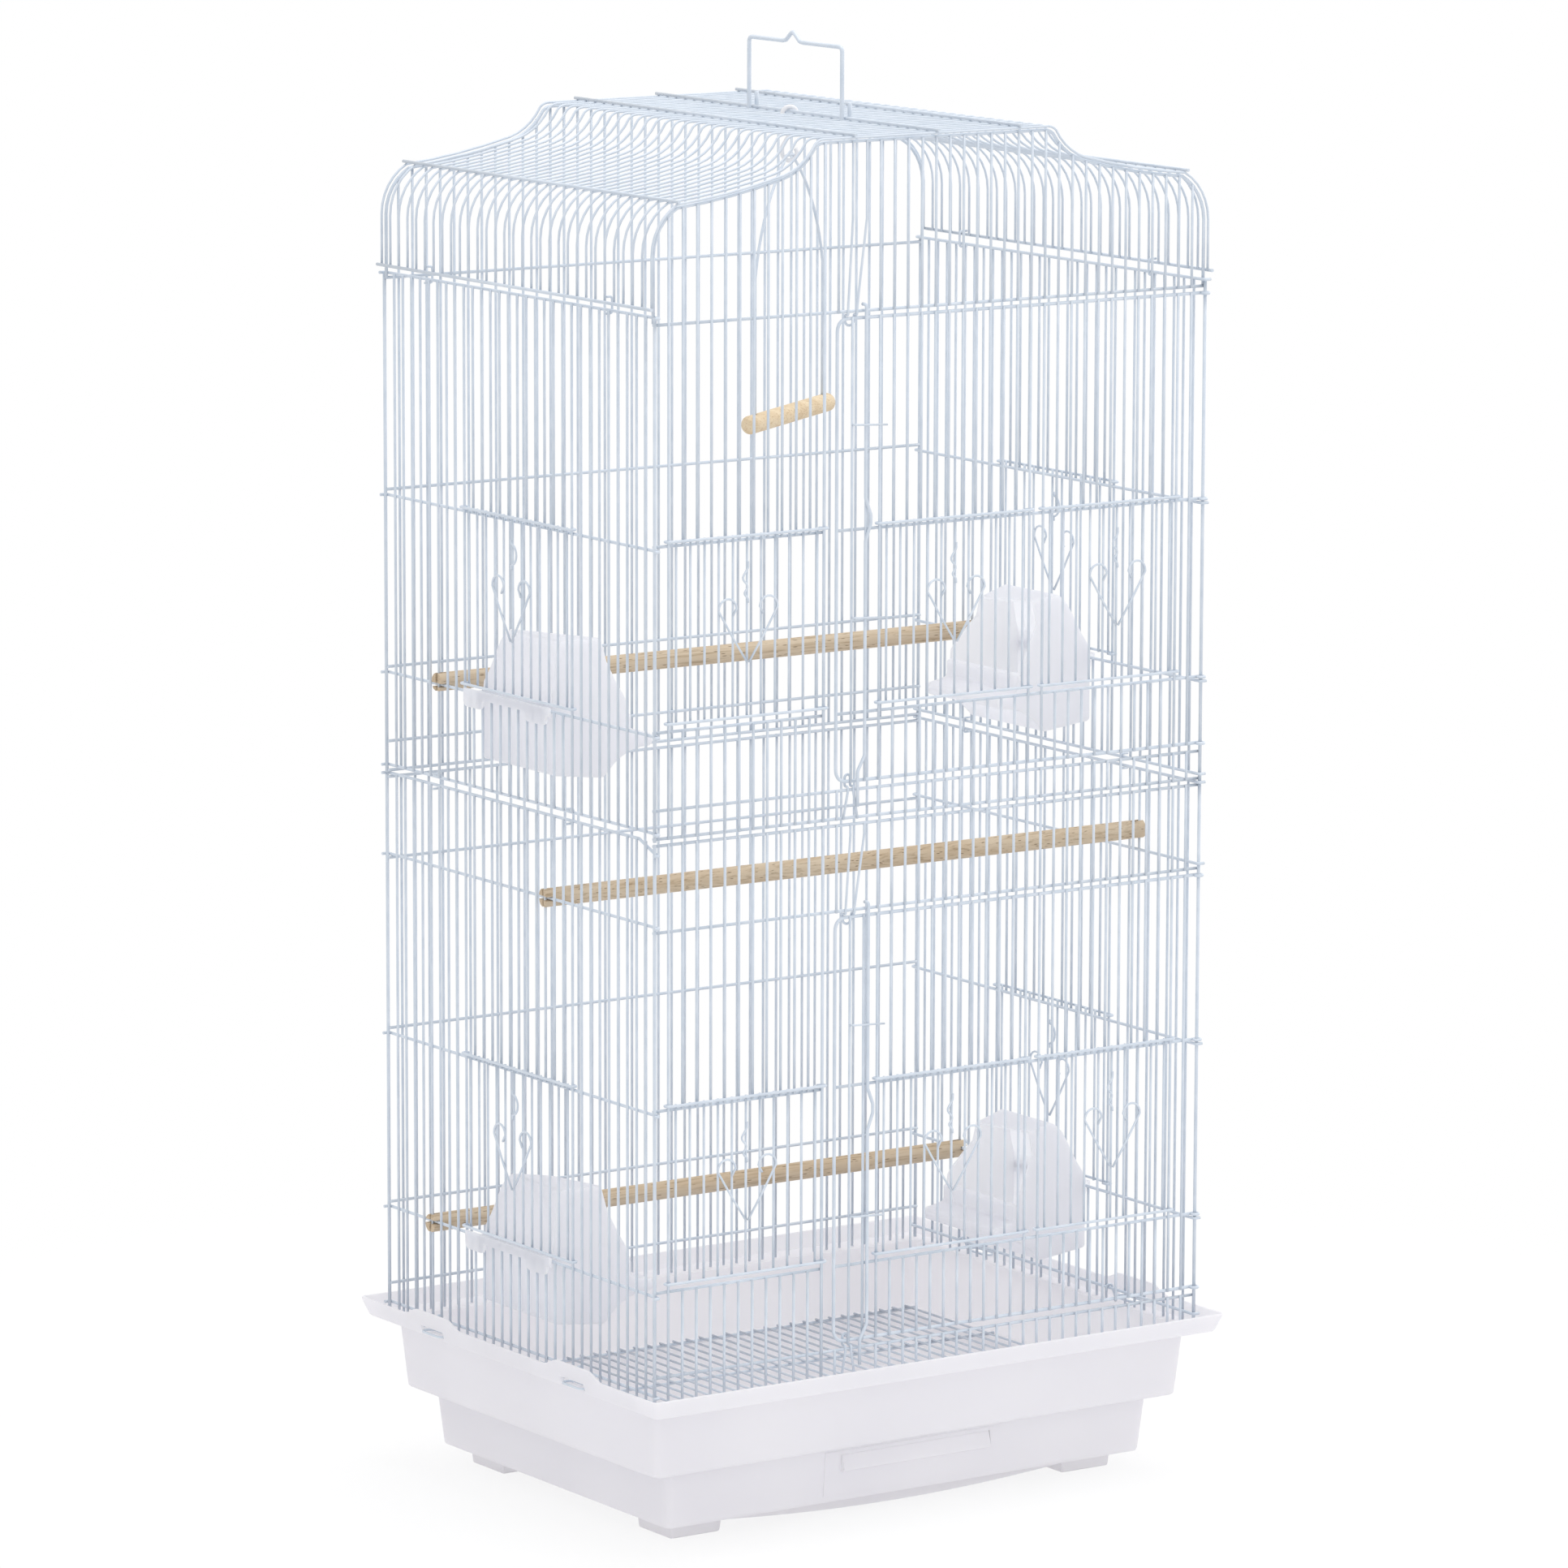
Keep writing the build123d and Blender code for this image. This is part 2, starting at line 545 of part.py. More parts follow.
def hatch(panel, span, sill, place, outer, heart_at=None):
    """A sliding door: bars looped round their two guide wires, upright wires, heart and pull."""
    low, high = sill + HATCH_LOW, sill + HATCH_GAP + HATCH_HIGH
    u0, u1 = place(span[0]), place(span[1])
    face = outer + WIRE + AIR
    loop = POST / 2 + AIR
    wires = []
    for z in (low, high):
        z0, z1 = z - BAR / 2, z + BAR / 2
        wires.append(panel.block(u0 - loop - WIRE, u1 + loop + WIRE, face, face + BAR, z0, z1))
        for u, way in ((u0, -1), (u1, 1)):
            a, b = sorted((u + way * loop, u + way * (loop + WIRE)))
            wires.append(panel.block(a, b, outer - AIR - WIRE, face, z0, z1))
            c, d = sorted((u + way * loop, u - way * (loop + 0.8)))
            wires.append(panel.block(c, d, outer - AIR - WIRE, outer - AIR, z0, z1))
    count = span[1] - span[0]
    for k in range(count):
        u = u0 + PITCH * (k + 0.5)
        wires.append(panel.block(u - WIRE / 2, u + WIRE / 2, face - WIRE, face, low - 1, high + 1))
    mid = u0 + PITCH * (count // 2 + 0.5) if heart_at is None else heart_at
    tip = sill + HEART_TIP
    for way in (-1, 1):
        side_u = mid + way * HEART_HALF
        eye = (mid + way * (HEART_HALF - 2 * CURL), tip + HEART_RISE)
        path = [(mid + way * 0.9, tip), (side_u, tip + HEART_RISE - 1)]
        path += arc((side_u, tip + HEART_RISE - 1), eye, way * 180, 4)
        path.append((eye[0] + way * 3, eye[1] - 5))
        wires.append(panel.flat(path, WIRE, face))
    pull = sill + PULL_Z
    path = [(mid, pull - 6), (mid - 4.5, pull + 3), (mid - 4.5, pull + 10), (mid, pull + 18)]
    wires.append(panel.flat(path, WIRE, face))
    return wires


for tier, sill in (("lower", LOW_SILL), ("upper", UP_SILL)):
    save(tier + "_left_hatch", *hatch(front, LEFT_HATCH, sill, front_x, WELD_Y))
    save(tier + "_mid_hatch", *hatch(front, MID_HATCH, sill, front_x, WELD_Y))
    save(tier + "_right_hatch", *hatch(front, RIGHT_HATCH, sill, front_x, WELD_Y))
    for name, panel in (("left", left), ("right", right)):
        wires = hatch(panel, SIDE_HATCH, sill - LAP, side_y, WELD_X)
        save(tier + "_" + name + "_side_hatch", *wires)

# ---- base pan ----


def tray(size, z0, z1, draft, radius):
    """A block with rounded corners whose walls lean out by `draft` degrees."""
    flare = (z1 - z0) * tan(radians(draft))
    rings = []
    for z, grow in ((z0, 0), (z1, flare)):
        x, y, r = size[0] / 2 + grow, size[1] / 2 + grow, radius + grow
        corner = [(x, y - r)] + arc((x, y - r), (x - r, y), 90, CORNER_FACETS)
        half = corner + [(-u, v) for u, v in corner[::-1]]
        ring = half + [(u, -v) for u, v in half[::-1]]
        rings.append(Face(Wire.make_polygon([Vector(u, v, z) for u, v in ring], close=True)))
    return loft(rings, ruled=True)


def shrunk(size, by):
    return (size[0] - 2 * by, size[1] - 2 * by)


pan = tray(LOW_BOX, FOOT_H, STEP_Z, DRAFT, 8)
pan += tray(HIGH_BOX, STEP_Z, PAN_FLOOR - WALL, DRAFT, 10)
pan += tray(shrunk(GUTTER, -WALL), PAN_FLOOR - WALL, PAN_FLOOR, 0, 12)
pan += tray(shrunk(GUTTER, -WALL), PAN_FLOOR, RIM_Z, RIM_LEAN, 12)
pan -= tray(shrunk(LOW_BOX, WALL), FOOT_H + WALL, STEP_Z + WALL, DRAFT, 6)
pan -= tray(shrunk(HIGH_BOX, WALL), STEP_Z + WALL, PAN_FLOOR, DRAFT, 8)
pan -= tray(GUTTER, PAN_FLOOR, RIM_Z, RIM_LEAN, 10)
for x in (-FOOT_X, FOOT_X):
    for y in (-FOOT_Y, FOOT_Y):
        pan += Pos(x, y, 0) * tray((FOOT - 2, FOOT - 2), 0, FOOT_H + 0.5, DRAFT, 3)

# a shallow panel in the front wall, with a finger lip across it; heights are along the leaning wall
on_front = Pos(0, -LOW_BOX[1] / 2, FOOT_H) * Rot(DRAFT, 0, 0)
pan += on_front * box(PANEL_X[0] - WALL, PANEL_X[1] + WALL, WALL / 2, WALL + PANEL_DEEP, WALL, PANEL_HIGH + WALL)
pan -= on_front * box(*PANEL_X, -WALL, PANEL_DEEP, PANEL_LOW, PANEL_HIGH)
grip_long = PANEL_X[1] - PANEL_X[0] - 12
grip = Polygon((0, 0), (grip_long, 0), (grip_long - 6, -6), (8, -6), align=None)
pan += on_front * Pos(PANEL_X[0] + 6, PANEL_DEEP + 0.5, PANEL_HIGH - 3) * Rot(90, 0, 0) * extrude(grip, 1.4)

# the floor is stiffened by a bowed rib across, behind the front feet
bow = [(-RIB_X, FOOT_H + 1), (-RIB_X, FOOT_H - 3)]
bow += arc(bow[-1], (RIB_X, FOOT_H - 3), 10, 8)
bow.append((RIB_X, FOOT_H + 1))
rib = Face(Wire.make_polygon([Vector(*p, 0) for p in bow], close=True))
pan += in_xz(extrude(rib, WALL, dir=(0, 0, 1)), RIB_Y)

SLOT_L, SLOT_Z = 24.0, PAN_FLOOR + 5
for way in (-1, 1):
    for y in CLIP_Y:
        mid = y - HUMP_BACK
        rise = [
            (mid - HUMP_L / 2, RIM_Z),
            (mid + HUMP_L / 2, RIM_Z),
            (mid + HUMP_L / 2 - HUMP_SLOPE, RIM_Z + HUMP_H),
            (mid - HUMP_L / 2 + HUMP_SLOPE, RIM_Z + HUMP_H),
        ]
        hump = Face(Wire.make_polygon([Vector(*p, 0) for p in rise], close=True))
        pan += in_yz(extrude(hump, WALL, dir=(0, 0, 1)), RIM_X - WALL if way > 0 else -RIM_X)
        x0, x1 = sorted((way * (GUTTER[0] / 2 - 2), way * RIM_X * 2))
        pan -= box(x0, x1, y - SLOT_L / 2, y + SLOT_L / 2, PAN_FLOOR, SLOT_Z)
save("base_pan", pan)

# ---- floor grate: lies on the pan's inner ledge ----
LEDGE_Z = STEP_Z + WALL + AIR
wires = []
for i in range(-18, 19):
    x = i * PITCH
    wires.append(box(x - WIRE / 2, x + WIRE / 2, -GRATE_Y, GRATE_Y, LEDGE_Z + BAR, LEDGE_Z + BAR + WIRE))
for y in (-GRATE_Y + 1, -50, 50, GRATE_Y - 1):
    wires.append(box(-GRATE_X, GRATE_X, y - BAR / 2, y + BAR / 2, LEDGE_Z, LEDGE_Z + BAR))
save("floor_grate", *wires)

# ---- base clips: a hook over the side panel's lowest bar, a flat oval outside the rim ----
LOOP_L, LOOP_W = 21.0, 10.0
LOOP_X = HALF_X + 6


def oval(radius, length):
    """A flat oval along Y with round ends."""
    y = length / 2 - radius
    edge = [(radius, -y), (radius, y)] + arc((radius, y), (-radius, y), 180, 4)
    edge += [(-radius, -y)] + arc((-radius, -y), (radius, -y), 180, 4)[:-1]
    return Face(Wire.make_polygon([Vector(*p, 0) for p in edge], close=True))


for side, way in (("left", -1), ("right", 1)):
    for where, y in zip(("back", "front"), CLIP_Y):
        top = SIDE_FIRST + BAR / 2 + AIR + WIRE / 2
        back_x = WELD_X - BAR - AIR - WIRE / 2
        loop_z = PAN_FLOOR + AIR + WIRE / 2
        path = [
            (back_x, SIDE_FIRST - 3),
            (back_x, top),
            (WELD_X + 1.2, top),
            (LOOP_X - LOOP_W / 2 - 0.5, loop_z),
            (LOOP_X - LOOP_W / 2 + 0.5, loop_z),
        ]
        arm = in_xz(ribbon(path, WIRE, WIRE), WIRE / 2)
        ring = oval(LOOP_W / 2, LOOP_L) - oval(LOOP_W / 2 - WIRE, LOOP_L - 2 * WIRE)
        loop = Pos(LOOP_X, 0, loop_z - WIRE / 2) * extrude(ring, WIRE)
        clip = arm + loop
        clip = clip if way > 0 else mirror(clip, Plane.YZ)
        save(side + "_" + where + "_clip", Pos(0, y, 0) * clip)

# ---- perches: each end is slotted over an upright and over the bar it meets ----
SLOT = WIRE + 2 * AIR


def perch(name, left_end, right_end):
    a, b = Vector(*left_end), Vector(*right_end)
    across = b - a
    rod = Plane(origin=a, z_dir=across) * Pos(0, 0, across.length / 2) * Cylinder(PERCH_D / 2, across.length)
    for end, way in ((a, -1), (b, 1)):
        x0, x1 = sorted((way * (WELD_X - 7), way * (HALF_X + 9)))
        rod -= box(x0, x1, end.Y - SLOT / 2, end.Y + SLOT / 2, end.Z - 9, end.Z + 9)
        x0, x1 = sorted((way * (WELD_X - BAR - AIR), way * (HALF_X + 9)))
        for bar in low_levels + up_levels:
            if abs(bar - end.Z) < PERCH_D / 2 + BAR / 2 + AIR:
                rod -= box(x0, x1, end.Y - 9, end.Y + 9, bar - BAR / 2 - AIR, bar + BAR / 2 + AIR)
    save(name, rod)


PERCH_X = HALF_X + 1.5
perch("upper_perch", (-PERCH_X, side_y(24), UP_SIDE_SILL + 2), (PERCH_X, side_y(24), UP_SIDE_SILL + 2))
perch("middle_perch", (-PERCH_X, side_y(12), LOW_SIDE_HEAD), (PERCH_X, side_y(6), LOW_SIDE_HEAD + 14))
perch("lower_perch", (-PERCH_X, side_y(25), LOW_SIDE_SILL - 1), (PERCH_X, side_y(25), LOW_SIDE_SILL - 1))

# ---- feeders: a tub with a ledge, under a hood that is open towards the cage ----
FEEDER_Y = (side_y(SIDE_HATCH[0]) + 27, side_y(SIDE_HATCH[1]) - 2)
FEEDER_WALL = 1.6
FEEDER_X = WELD_X - BAR - AIR
LEDGE_X = FEEDER_X - 79.3
TAB = 26.0
TAB_Y = ((FEEDER_Y[0], FEEDER_Y[0] + TAB), (FEEDER_Y[1] - TAB, FEEDER_Y[1]))


def feeder(name, way, sill):
    length = FEEDER_Y[1] - FEEDER_Y[0]
    tub_front, rim = FEEDER_X - 41.3, FEEDER_X - 57.3
    hood_low, hood_high, hood_back = rim + 14, rim + 19, FEEDER_X - 17.8
    profile = make_face(Polyline(
        (FEEDER_X, sill - 49), (tub_front, sill - 49), (rim, sill - 26), (rim, sill - 15),
        (rim - 4, sill - 7), (hood_low, sill + 20), (hood_high, sill + 43),
        (hood_back, sill + 43), (FEEDER_X, sill + 11), close=True,
    ))
    body = extrude(profile, length / 2, both=True)
    hollow = extrude(offset(profile, -FEEDER_WALL, kind=Kind.INTERSECTION), length / 2 - FEEDER_WALL, both=True)
    body -= hollow
    mouth = make_face(Polyline(
        (rim - 30, sill - 20), (rim + 12, sill - 20), (hood_high + 1, sill + 38),
        (hood_high - 20, sill + 38), close=True,
    ))
    body -= extrude(mouth, length / 2 - FEEDER_WALL, both=True)
    ledge = extrude(make_face(Polyline(
        (rim + 1, sill - 26), (LEDGE_X, sill - 26), (LEDGE_X, sill - 24), (rim + 1, sill - 24), close=True,
    )), length / 2, both=True)
    body += ledge
    body = Rot(90, 0, 0) * body
    mid = (FEEDER_Y[0] + FEEDER_Y[1]) / 2
    body = Pos(0, mid, 0) * body
    over = sill + BAR / 2 + AIR
    out = WELD_X + WIRE + AIR
    for y0, y1 in TAB_Y:
        body += box(FEEDER_X - 1, out + FEEDER_WALL, y0, y1, over, over + FEEDER_WALL)
        body += box(out, out + FEEDER_WALL, y0, y1, sill - 10, over + FEEDER_WALL)
    if way < 0:
        body = mirror(body, Plane.YZ)
    save(name, body)


for tier, sill in (("lower", LOW_SIDE_SILL), ("upper", UP_SIDE_SILL)):
    feeder(tier + "_left_feeder", -1, sill)
    feeder(tier + "_right_feeder", 1, sill)

# ---- swing: a plastic S-hook over the roof's middle bar, a bent wire and a turned perch ----
BAR_AXIS = SKIN_TOP + ROOF_BAR / 2
HOOK_AT = PITCH / 2  # between two skin wires
HOOK_T = 2.5
HOOK_R = ROOF_BAR / 2 + AIR + 0.9 + HOOK_T / 2
HOOK_DROP = 29.6
swing_z = BAR_AXIS - HOOK_DROP
path = [(-HOOK_R * cos(radians(20)), BAR_AXIS - HOOK_R * sin(radians(20)))]
path += arc(path[0], (HOOK_R, BAR_AXIS), -200, 8)
path.append((-HOOK_R, swing_z + 4))
path += arc((-HOOK_R, swing_z), (HOOK_R * cos(radians(40)), swing_z + HOOK_R * sin(radians(40))), 220, 8)
hook_face = ribbon(path, HOOK_T, HOOK_T)
turned = Rot(0, 0, -(90 - SWING_TURN) / 2)
hook = Pos(0, HOOK_AT, 0) * turned * in_xz(hook_face, HOOK_T / 2)
save("swing_hook", hook)

SWING_D = 2.0
AXLE = 7.0
placed = Pos(0, HOOK_AT, 0) * Rot(0, 0, SWING_TURN)
legs = []
for way in (-1, 1):
    path = [(way * AXLE, swing_z), (way * (AXLE + 1.5), swing_z - 3)]
    path += arc(path[-1], (way * SWING_W / 2, SWING_Z + 97), -way * 42, 4)
    path.append((way * SWING_W / 2, SWING_Z - PERCH_D / 2))
    legs.append(placed * in_xz(ribbon(path, SWING_D, SWING_D), SWING_D / 2))
axle = placed * Pos(0, 0, swing_z) * Rot(0, 90, 0) * Cylinder(SWING_D / 2, 2 * AXLE - SWING_D)
save("swing_frame", axle, *legs)

SWING_PERCH_L = 143.0
rod = Rot(0, 90, 0) * Cylinder(PERCH_D / 2, SWING_PERCH_L)
rod = chamfer(rod.edges().filter_by(GeomType.CIRCLE), 2.5)
for x in (-SWING_W / 2, SWING_W / 2):
    rod -= box(x - SWING_D / 2 - AIR, x + SWING_D / 2 + AIR, -SWING_D / 2 - AIR, SWING_D / 2 + AIR, -9, 9)
save("swing_perch", placed * Pos(0, 0, SWING_Z) * rod)

# ---- carry handle: folds about the roof's middle bar ----
LEG_Y = (-5.5 * PITCH, 4.5 * PITCH)
HANDLE_R = ROOF_BAR / 2 + AIR + HANDLE_D / 2 + 0.2
side_x = HANDLE_R - HANDLE_D / 2
top = HANDLE_Z - HANDLE_D / 2
peak = (LEG_Y[0] + LEG_Y[1]) / 2 + 3
path = [
    (LEG_Y[0], BAR_AXIS), (LEG_Y[0], top - 4), (LEG_Y[0] + 1.5, top - 1), (LEG_Y[0] + 4, top),
    (peak - 11, top), (peak - 4, top + 1), (peak - 1, top + 6), (peak + 1, top + 6), (peak + 4, top + 1),
    (peak + 11, top), (LEG_Y[1] - 4, top), (LEG_Y[1] - 1.5, top - 1), (LEG_Y[1], top - 4), (LEG_Y[1], BAR_AXIS),
]
handle = in_yz(ribbon(path, HANDLE_D, HANDLE_D), side_x)
for y in LEG_Y:
    path = [(HANDLE_R, BAR_AXIS + 1)] + arc((HANDLE_R, BAR_AXIS), (-HANDLE_R, BAR_AXIS), -180, 6)
    path.append((-HANDLE_R, BAR_AXIS + 6))
    handle += in_xz(ribbon(path, HANDLE_D, HANDLE_D), y + HANDLE_D / 2)
save("carry_handle", handle)
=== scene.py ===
from math import cos, pi, radians, sin

import bmesh
import bpy
from mathutils import Matrix, Vector


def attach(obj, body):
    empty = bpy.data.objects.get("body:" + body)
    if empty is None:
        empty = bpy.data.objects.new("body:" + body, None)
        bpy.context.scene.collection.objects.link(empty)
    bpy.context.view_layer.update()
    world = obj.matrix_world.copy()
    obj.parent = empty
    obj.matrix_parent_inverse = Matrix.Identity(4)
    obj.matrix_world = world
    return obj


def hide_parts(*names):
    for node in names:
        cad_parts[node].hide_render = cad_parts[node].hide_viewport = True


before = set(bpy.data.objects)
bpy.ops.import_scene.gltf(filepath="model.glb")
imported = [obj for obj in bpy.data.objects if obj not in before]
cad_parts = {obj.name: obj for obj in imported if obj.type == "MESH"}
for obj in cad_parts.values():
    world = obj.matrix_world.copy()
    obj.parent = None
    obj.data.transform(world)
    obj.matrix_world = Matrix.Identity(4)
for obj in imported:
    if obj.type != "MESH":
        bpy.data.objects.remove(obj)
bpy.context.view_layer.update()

MM = 0.001

# ---------------------------------------------------------------- sizes, mm
PITCH = 11.0
FRONT_GAPS = 40
SIDE_GAPS = 30
HALF_X = PITCH * FRONT_GAPS / 2
HALF_Y = PITCH * SIDE_GAPS / 2
# gauges that the clearances are counted from
WIRE = 1.6
PLAIN_BAR = 2.0
PLAIN_POST = 2.4
# gauges as drawn, a little thicker for the powder coat
UPRIGHT = 1.9
THIN = 1.7  # uprights that lean or slide, and the roof's
BAR = 2.1
POST = 2.6
DOOR_WIRE = 2.3
FINE = 1.5
AIR = 0.3  # between wires that pass one another
OVER = 0.8  # an upright ends this far past the bar that it is welded to
SINK = 0.25  # how far two welded wires melt into each other
WELD_Y = HALF_Y - WIRE / 2
WELD_X = HALF_X - 1.4
LAP = 2.6  # a side bar lies this far below the front bar that it crosses
BACK_RISE = 1.5  # the back panels' bars sit this much higher

# levels
PAN_FLOOR = 101.0
LOW_FIRST, LOW_SILL, LOW_HEAD, LOW_TOP = 122.5, 179.4, 418.3, 475.5
UP_BOTTOM, UP_SECOND, UP_SILL, UP_TOP = 480.0, 498.5, 549.5, 813.7
SIDE_FIRST = 110.0
LOW_SIDE_TOP = (LOW_TOP + UP_BOTTOM) / 2
UP_SIDE_TOP = UP_TOP + 4.7
HATCH_GAP = 121.0
LOW_SIDE_SILL, UP_SIDE_SILL = LOW_SILL - LAP, UP_SILL - LAP
LOW_LEVELS = (SIDE_FIRST, LOW_SIDE_SILL, LOW_SIDE_SILL + HATCH_GAP, LOW_HEAD + 3.7, LOW_SIDE_TOP)
UP_LEVELS = (UP_BOTTOM + 3.5, UP_SIDE_SILL, UP_SIDE_SILL + HATCH_GAP, UP_SIDE_TOP)

DOOR_GAUGE = 13  # first gap of the large doors, counted from the left
DOOR_DROP, DOOR_RISE, DOOR_CORNER = 4.6, 5.8, 9.0
LEFT_HATCH, MID_HATCH, RIGHT_HATCH, SIDE_HATCH = (1, 12), (16, 27), (28, 38), (9, 21)
V_WIRES = (14, 15)  # lean together beside the latches
V_FOOT = (-69.5, -62.5)  # above a door
V_HEAD = (-68.3, -63.9)  # below a door
V_SPREAD = (-72.0, -60.5)
PASS = 2.3  # catches pass this far from a bar
CATCH_DROP, CATCH_RISE = 9.5, 10.0
ROD = 2.3
STAPLE = 1.3
CLIP_Y = (104.5, -71.5)
RING_ON = -10.5  # each clip's finger ring lies this far along from its hook

# the roof line: eave, spring, shoulder, ogee, lip and flat top
EAVE_Z, SPRING_Z = 824.0, 858.0
SKIN_X = HALF_X + 2.2
SHOULDER = (202.5, 890.5)
OGEE = (120.0, 905.0)
LIP = (96.0, 924.0)
TOP = (90.0, 926.7)
ROOF_BAR = 2.2
ROOF_BAR_X = 66.0
BAR_AXIS = TOP[1] + WIRE / 2 + ROOF_BAR / 2


# ---------------------------------------------------------------- colour and nodes
def linear(code):
    """An sRGB hex colour as linear RGBA."""
    parts = [int(code[i:i + 2], 16) / 255 for i in (1, 3, 5)]
    return tuple(c / 12.92 if c <= 0.04045 else ((c + 0.055) / 1.055) ** 2.4 for c in parts) + (1.0,)


def put(tree, kind, settings=(), **links):
    """Adds a node; settings sets its attributes, links its sockets (a value or another socket)."""
    node = tree.nodes.new(kind)
    for name, value in dict(settings).items():
        setattr(node, name, value)
    for name, value in links.items():
        socket = node.inputs[int(name[1:])] if name[0] == "i" and name[1:].isdigit() else \
            node.inputs[name.replace("_", " ")]
        if isinstance(value, bpy.types.NodeSocket):
            tree.links.new(value, socket)
        else:
            socket.default_value = value
    return node


def dials(shader, **values):
    """Sets a shader's plain inputs."""
    for name, value in values.items():
        shader.inputs[name.replace("_", " ")].default_value = value


def material(name):
    """An empty material with its shader and its Object coordinates."""
    made = bpy.data.materials.new(name)
    made.use_nodes = True
    tree = made.node_tree
    shader = tree.nodes["Principled BSDF"]
    where = put(tree, "ShaderNodeTexCoord").outputs["Object"]
    return made, tree, shader, where


def ramp(tree, fac, *stops):
    """A colour ramp through (position, colour) stops."""
    node = put(tree, "ShaderNodeValToRGB", Fac=fac)
    band = node.color_ramp
    while len(band.elements) < len(stops):
        band.elements.new(0.5)
    for element, (place, colour) in zip(band.elements, stops):
        element.position = place
        element.color = colour
    return node.outputs["Color"]


def bump(tree, shader, height, strength, mm):
    node = put(tree, "ShaderNodeBump", Strength=strength, Distance=mm * MM, Height=height)
    tree.links.new(node.outputs["Normal"], shader.inputs["Normal"])


def powder_coated_wire():
    """Drawn steel wire under a pale blue-white powder coat: soft highlights, a very fine orange peel
    and slightly deeper colour in random patches where the coat runs thick."""
    made, tree, shader, where = material("powder_coated_wire")
    dials(shader, Roughness=0.34, Coat_Weight=0.25, Coat_Roughness=0.2)
    # patches of thicker and thinner coat, about 12 mm across
    patch = put(tree, "ShaderNodeTexNoise", Vector=where, Scale=1 / (12 * MM), Detail=3.0)
    colour = ramp(tree, patch.outputs["Fac"], (0.3, linear("#C9D3DF")), (0.7, linear("#D6DEE8")))
    tree.links.new(colour, shader.inputs["Base Color"])
    # orange peel, drawn at 0.8 mm so that it shows at all
    peel = put(tree, "ShaderNodeTexNoise", Vector=where, Scale=1 / (0.8 * MM), Detail=1.0)
    bump(tree, shader, peel.outputs["Fac"], 0.12, 0.05)
    return made


def through_wall(tree, shader, share, colour):
    """Lets a share of the light soak through a thin moulded wall."""
    soak = put(tree, "ShaderNodeBsdfTranslucent", Color=linear(colour))
    both = put(tree, "ShaderNodeMixShader", Fac=share, i1=shader.outputs[0], i2=soak.outputs[0])
    tree.links.new(both.outputs[0], tree.nodes["Material Output"].inputs["Surface"])


def moulded_polypropylene():
    """Injection-moulded polypropylene, white: satin, with a fine spark-eroded grain, and thin enough
    for a good share of the light to soak through its walls."""
    made, tree, shader, where = material("moulded_polypropylene")
    dials(shader, IOR=1.49, Subsurface_Weight=0.12, Subsurface_Radius=(0.004, 0.004, 0.005),
          Subsurface_Scale=1.0)
    flow = put(tree, "ShaderNodeTexNoise", Vector=where, Scale=1 / (90 * MM), Detail=2.0)
    colour = ramp(tree, flow.outputs["Fac"], (0.3, linear("#EEEDF1")), (0.7, linear("#F3F2F5")))
    tree.links.new(colour, shader.inputs["Base Color"])
    rough = put(tree, "ShaderNodeMapRange", Value=flow.outputs["Fac"], To_Min=0.38, To_Max=0.46)
    tree.links.new(rough.outputs["Result"], shader.inputs["Roughness"])
    through_wall(tree, shader, 0.52, "#FEFDFE")
    # spark-eroded grain, 0.6 mm
    grain = put(tree, "ShaderNodeTexNoise", Vector=where, Scale=1 / (0.6 * MM), Detail=2.0)
    bump(tree, shader, grain.outputs["Fac"], 0.1, 0.06)
    return made


def milky_polypropylene():
    """Unfilled polypropylene 1.6 mm thick: milky, so that the light behind it shows through."""
    made, tree, shader, where = material("milky_polypropylene")
    dials(shader, Base_Color=linear("#F0F0F4"), IOR=1.49, Roughness=0.32, Subsurface_Weight=0.35,
          Subsurface_Radius=(0.006, 0.006, 0.007), Subsurface_Scale=1.0)
    through_wall(tree, shader, 0.75, "#FEFEFF")
    flow = put(tree, "ShaderNodeTexNoise", Vector=where, Scale=1 / (25 * MM), Detail=2.0)
    bump(tree, shader, flow.outputs["Fac"], 0.15, 0.3)
    return made


def moulded_nylon():
    """Moulded nylon: a clean warm white with a tight highlight."""
    made, tree, shader, where = material("moulded_nylon")
    dials(shader, Base_Color=linear("#ECECEF"), IOR=1.53, Roughness=0.28)
    flow = put(tree, "ShaderNodeTexNoise", Vector=where, Scale=1 / (3 * MM), Detail=1.0)
    bump(tree, shader, flow.outputs["Fac"], 0.08, 0.1)
    return made


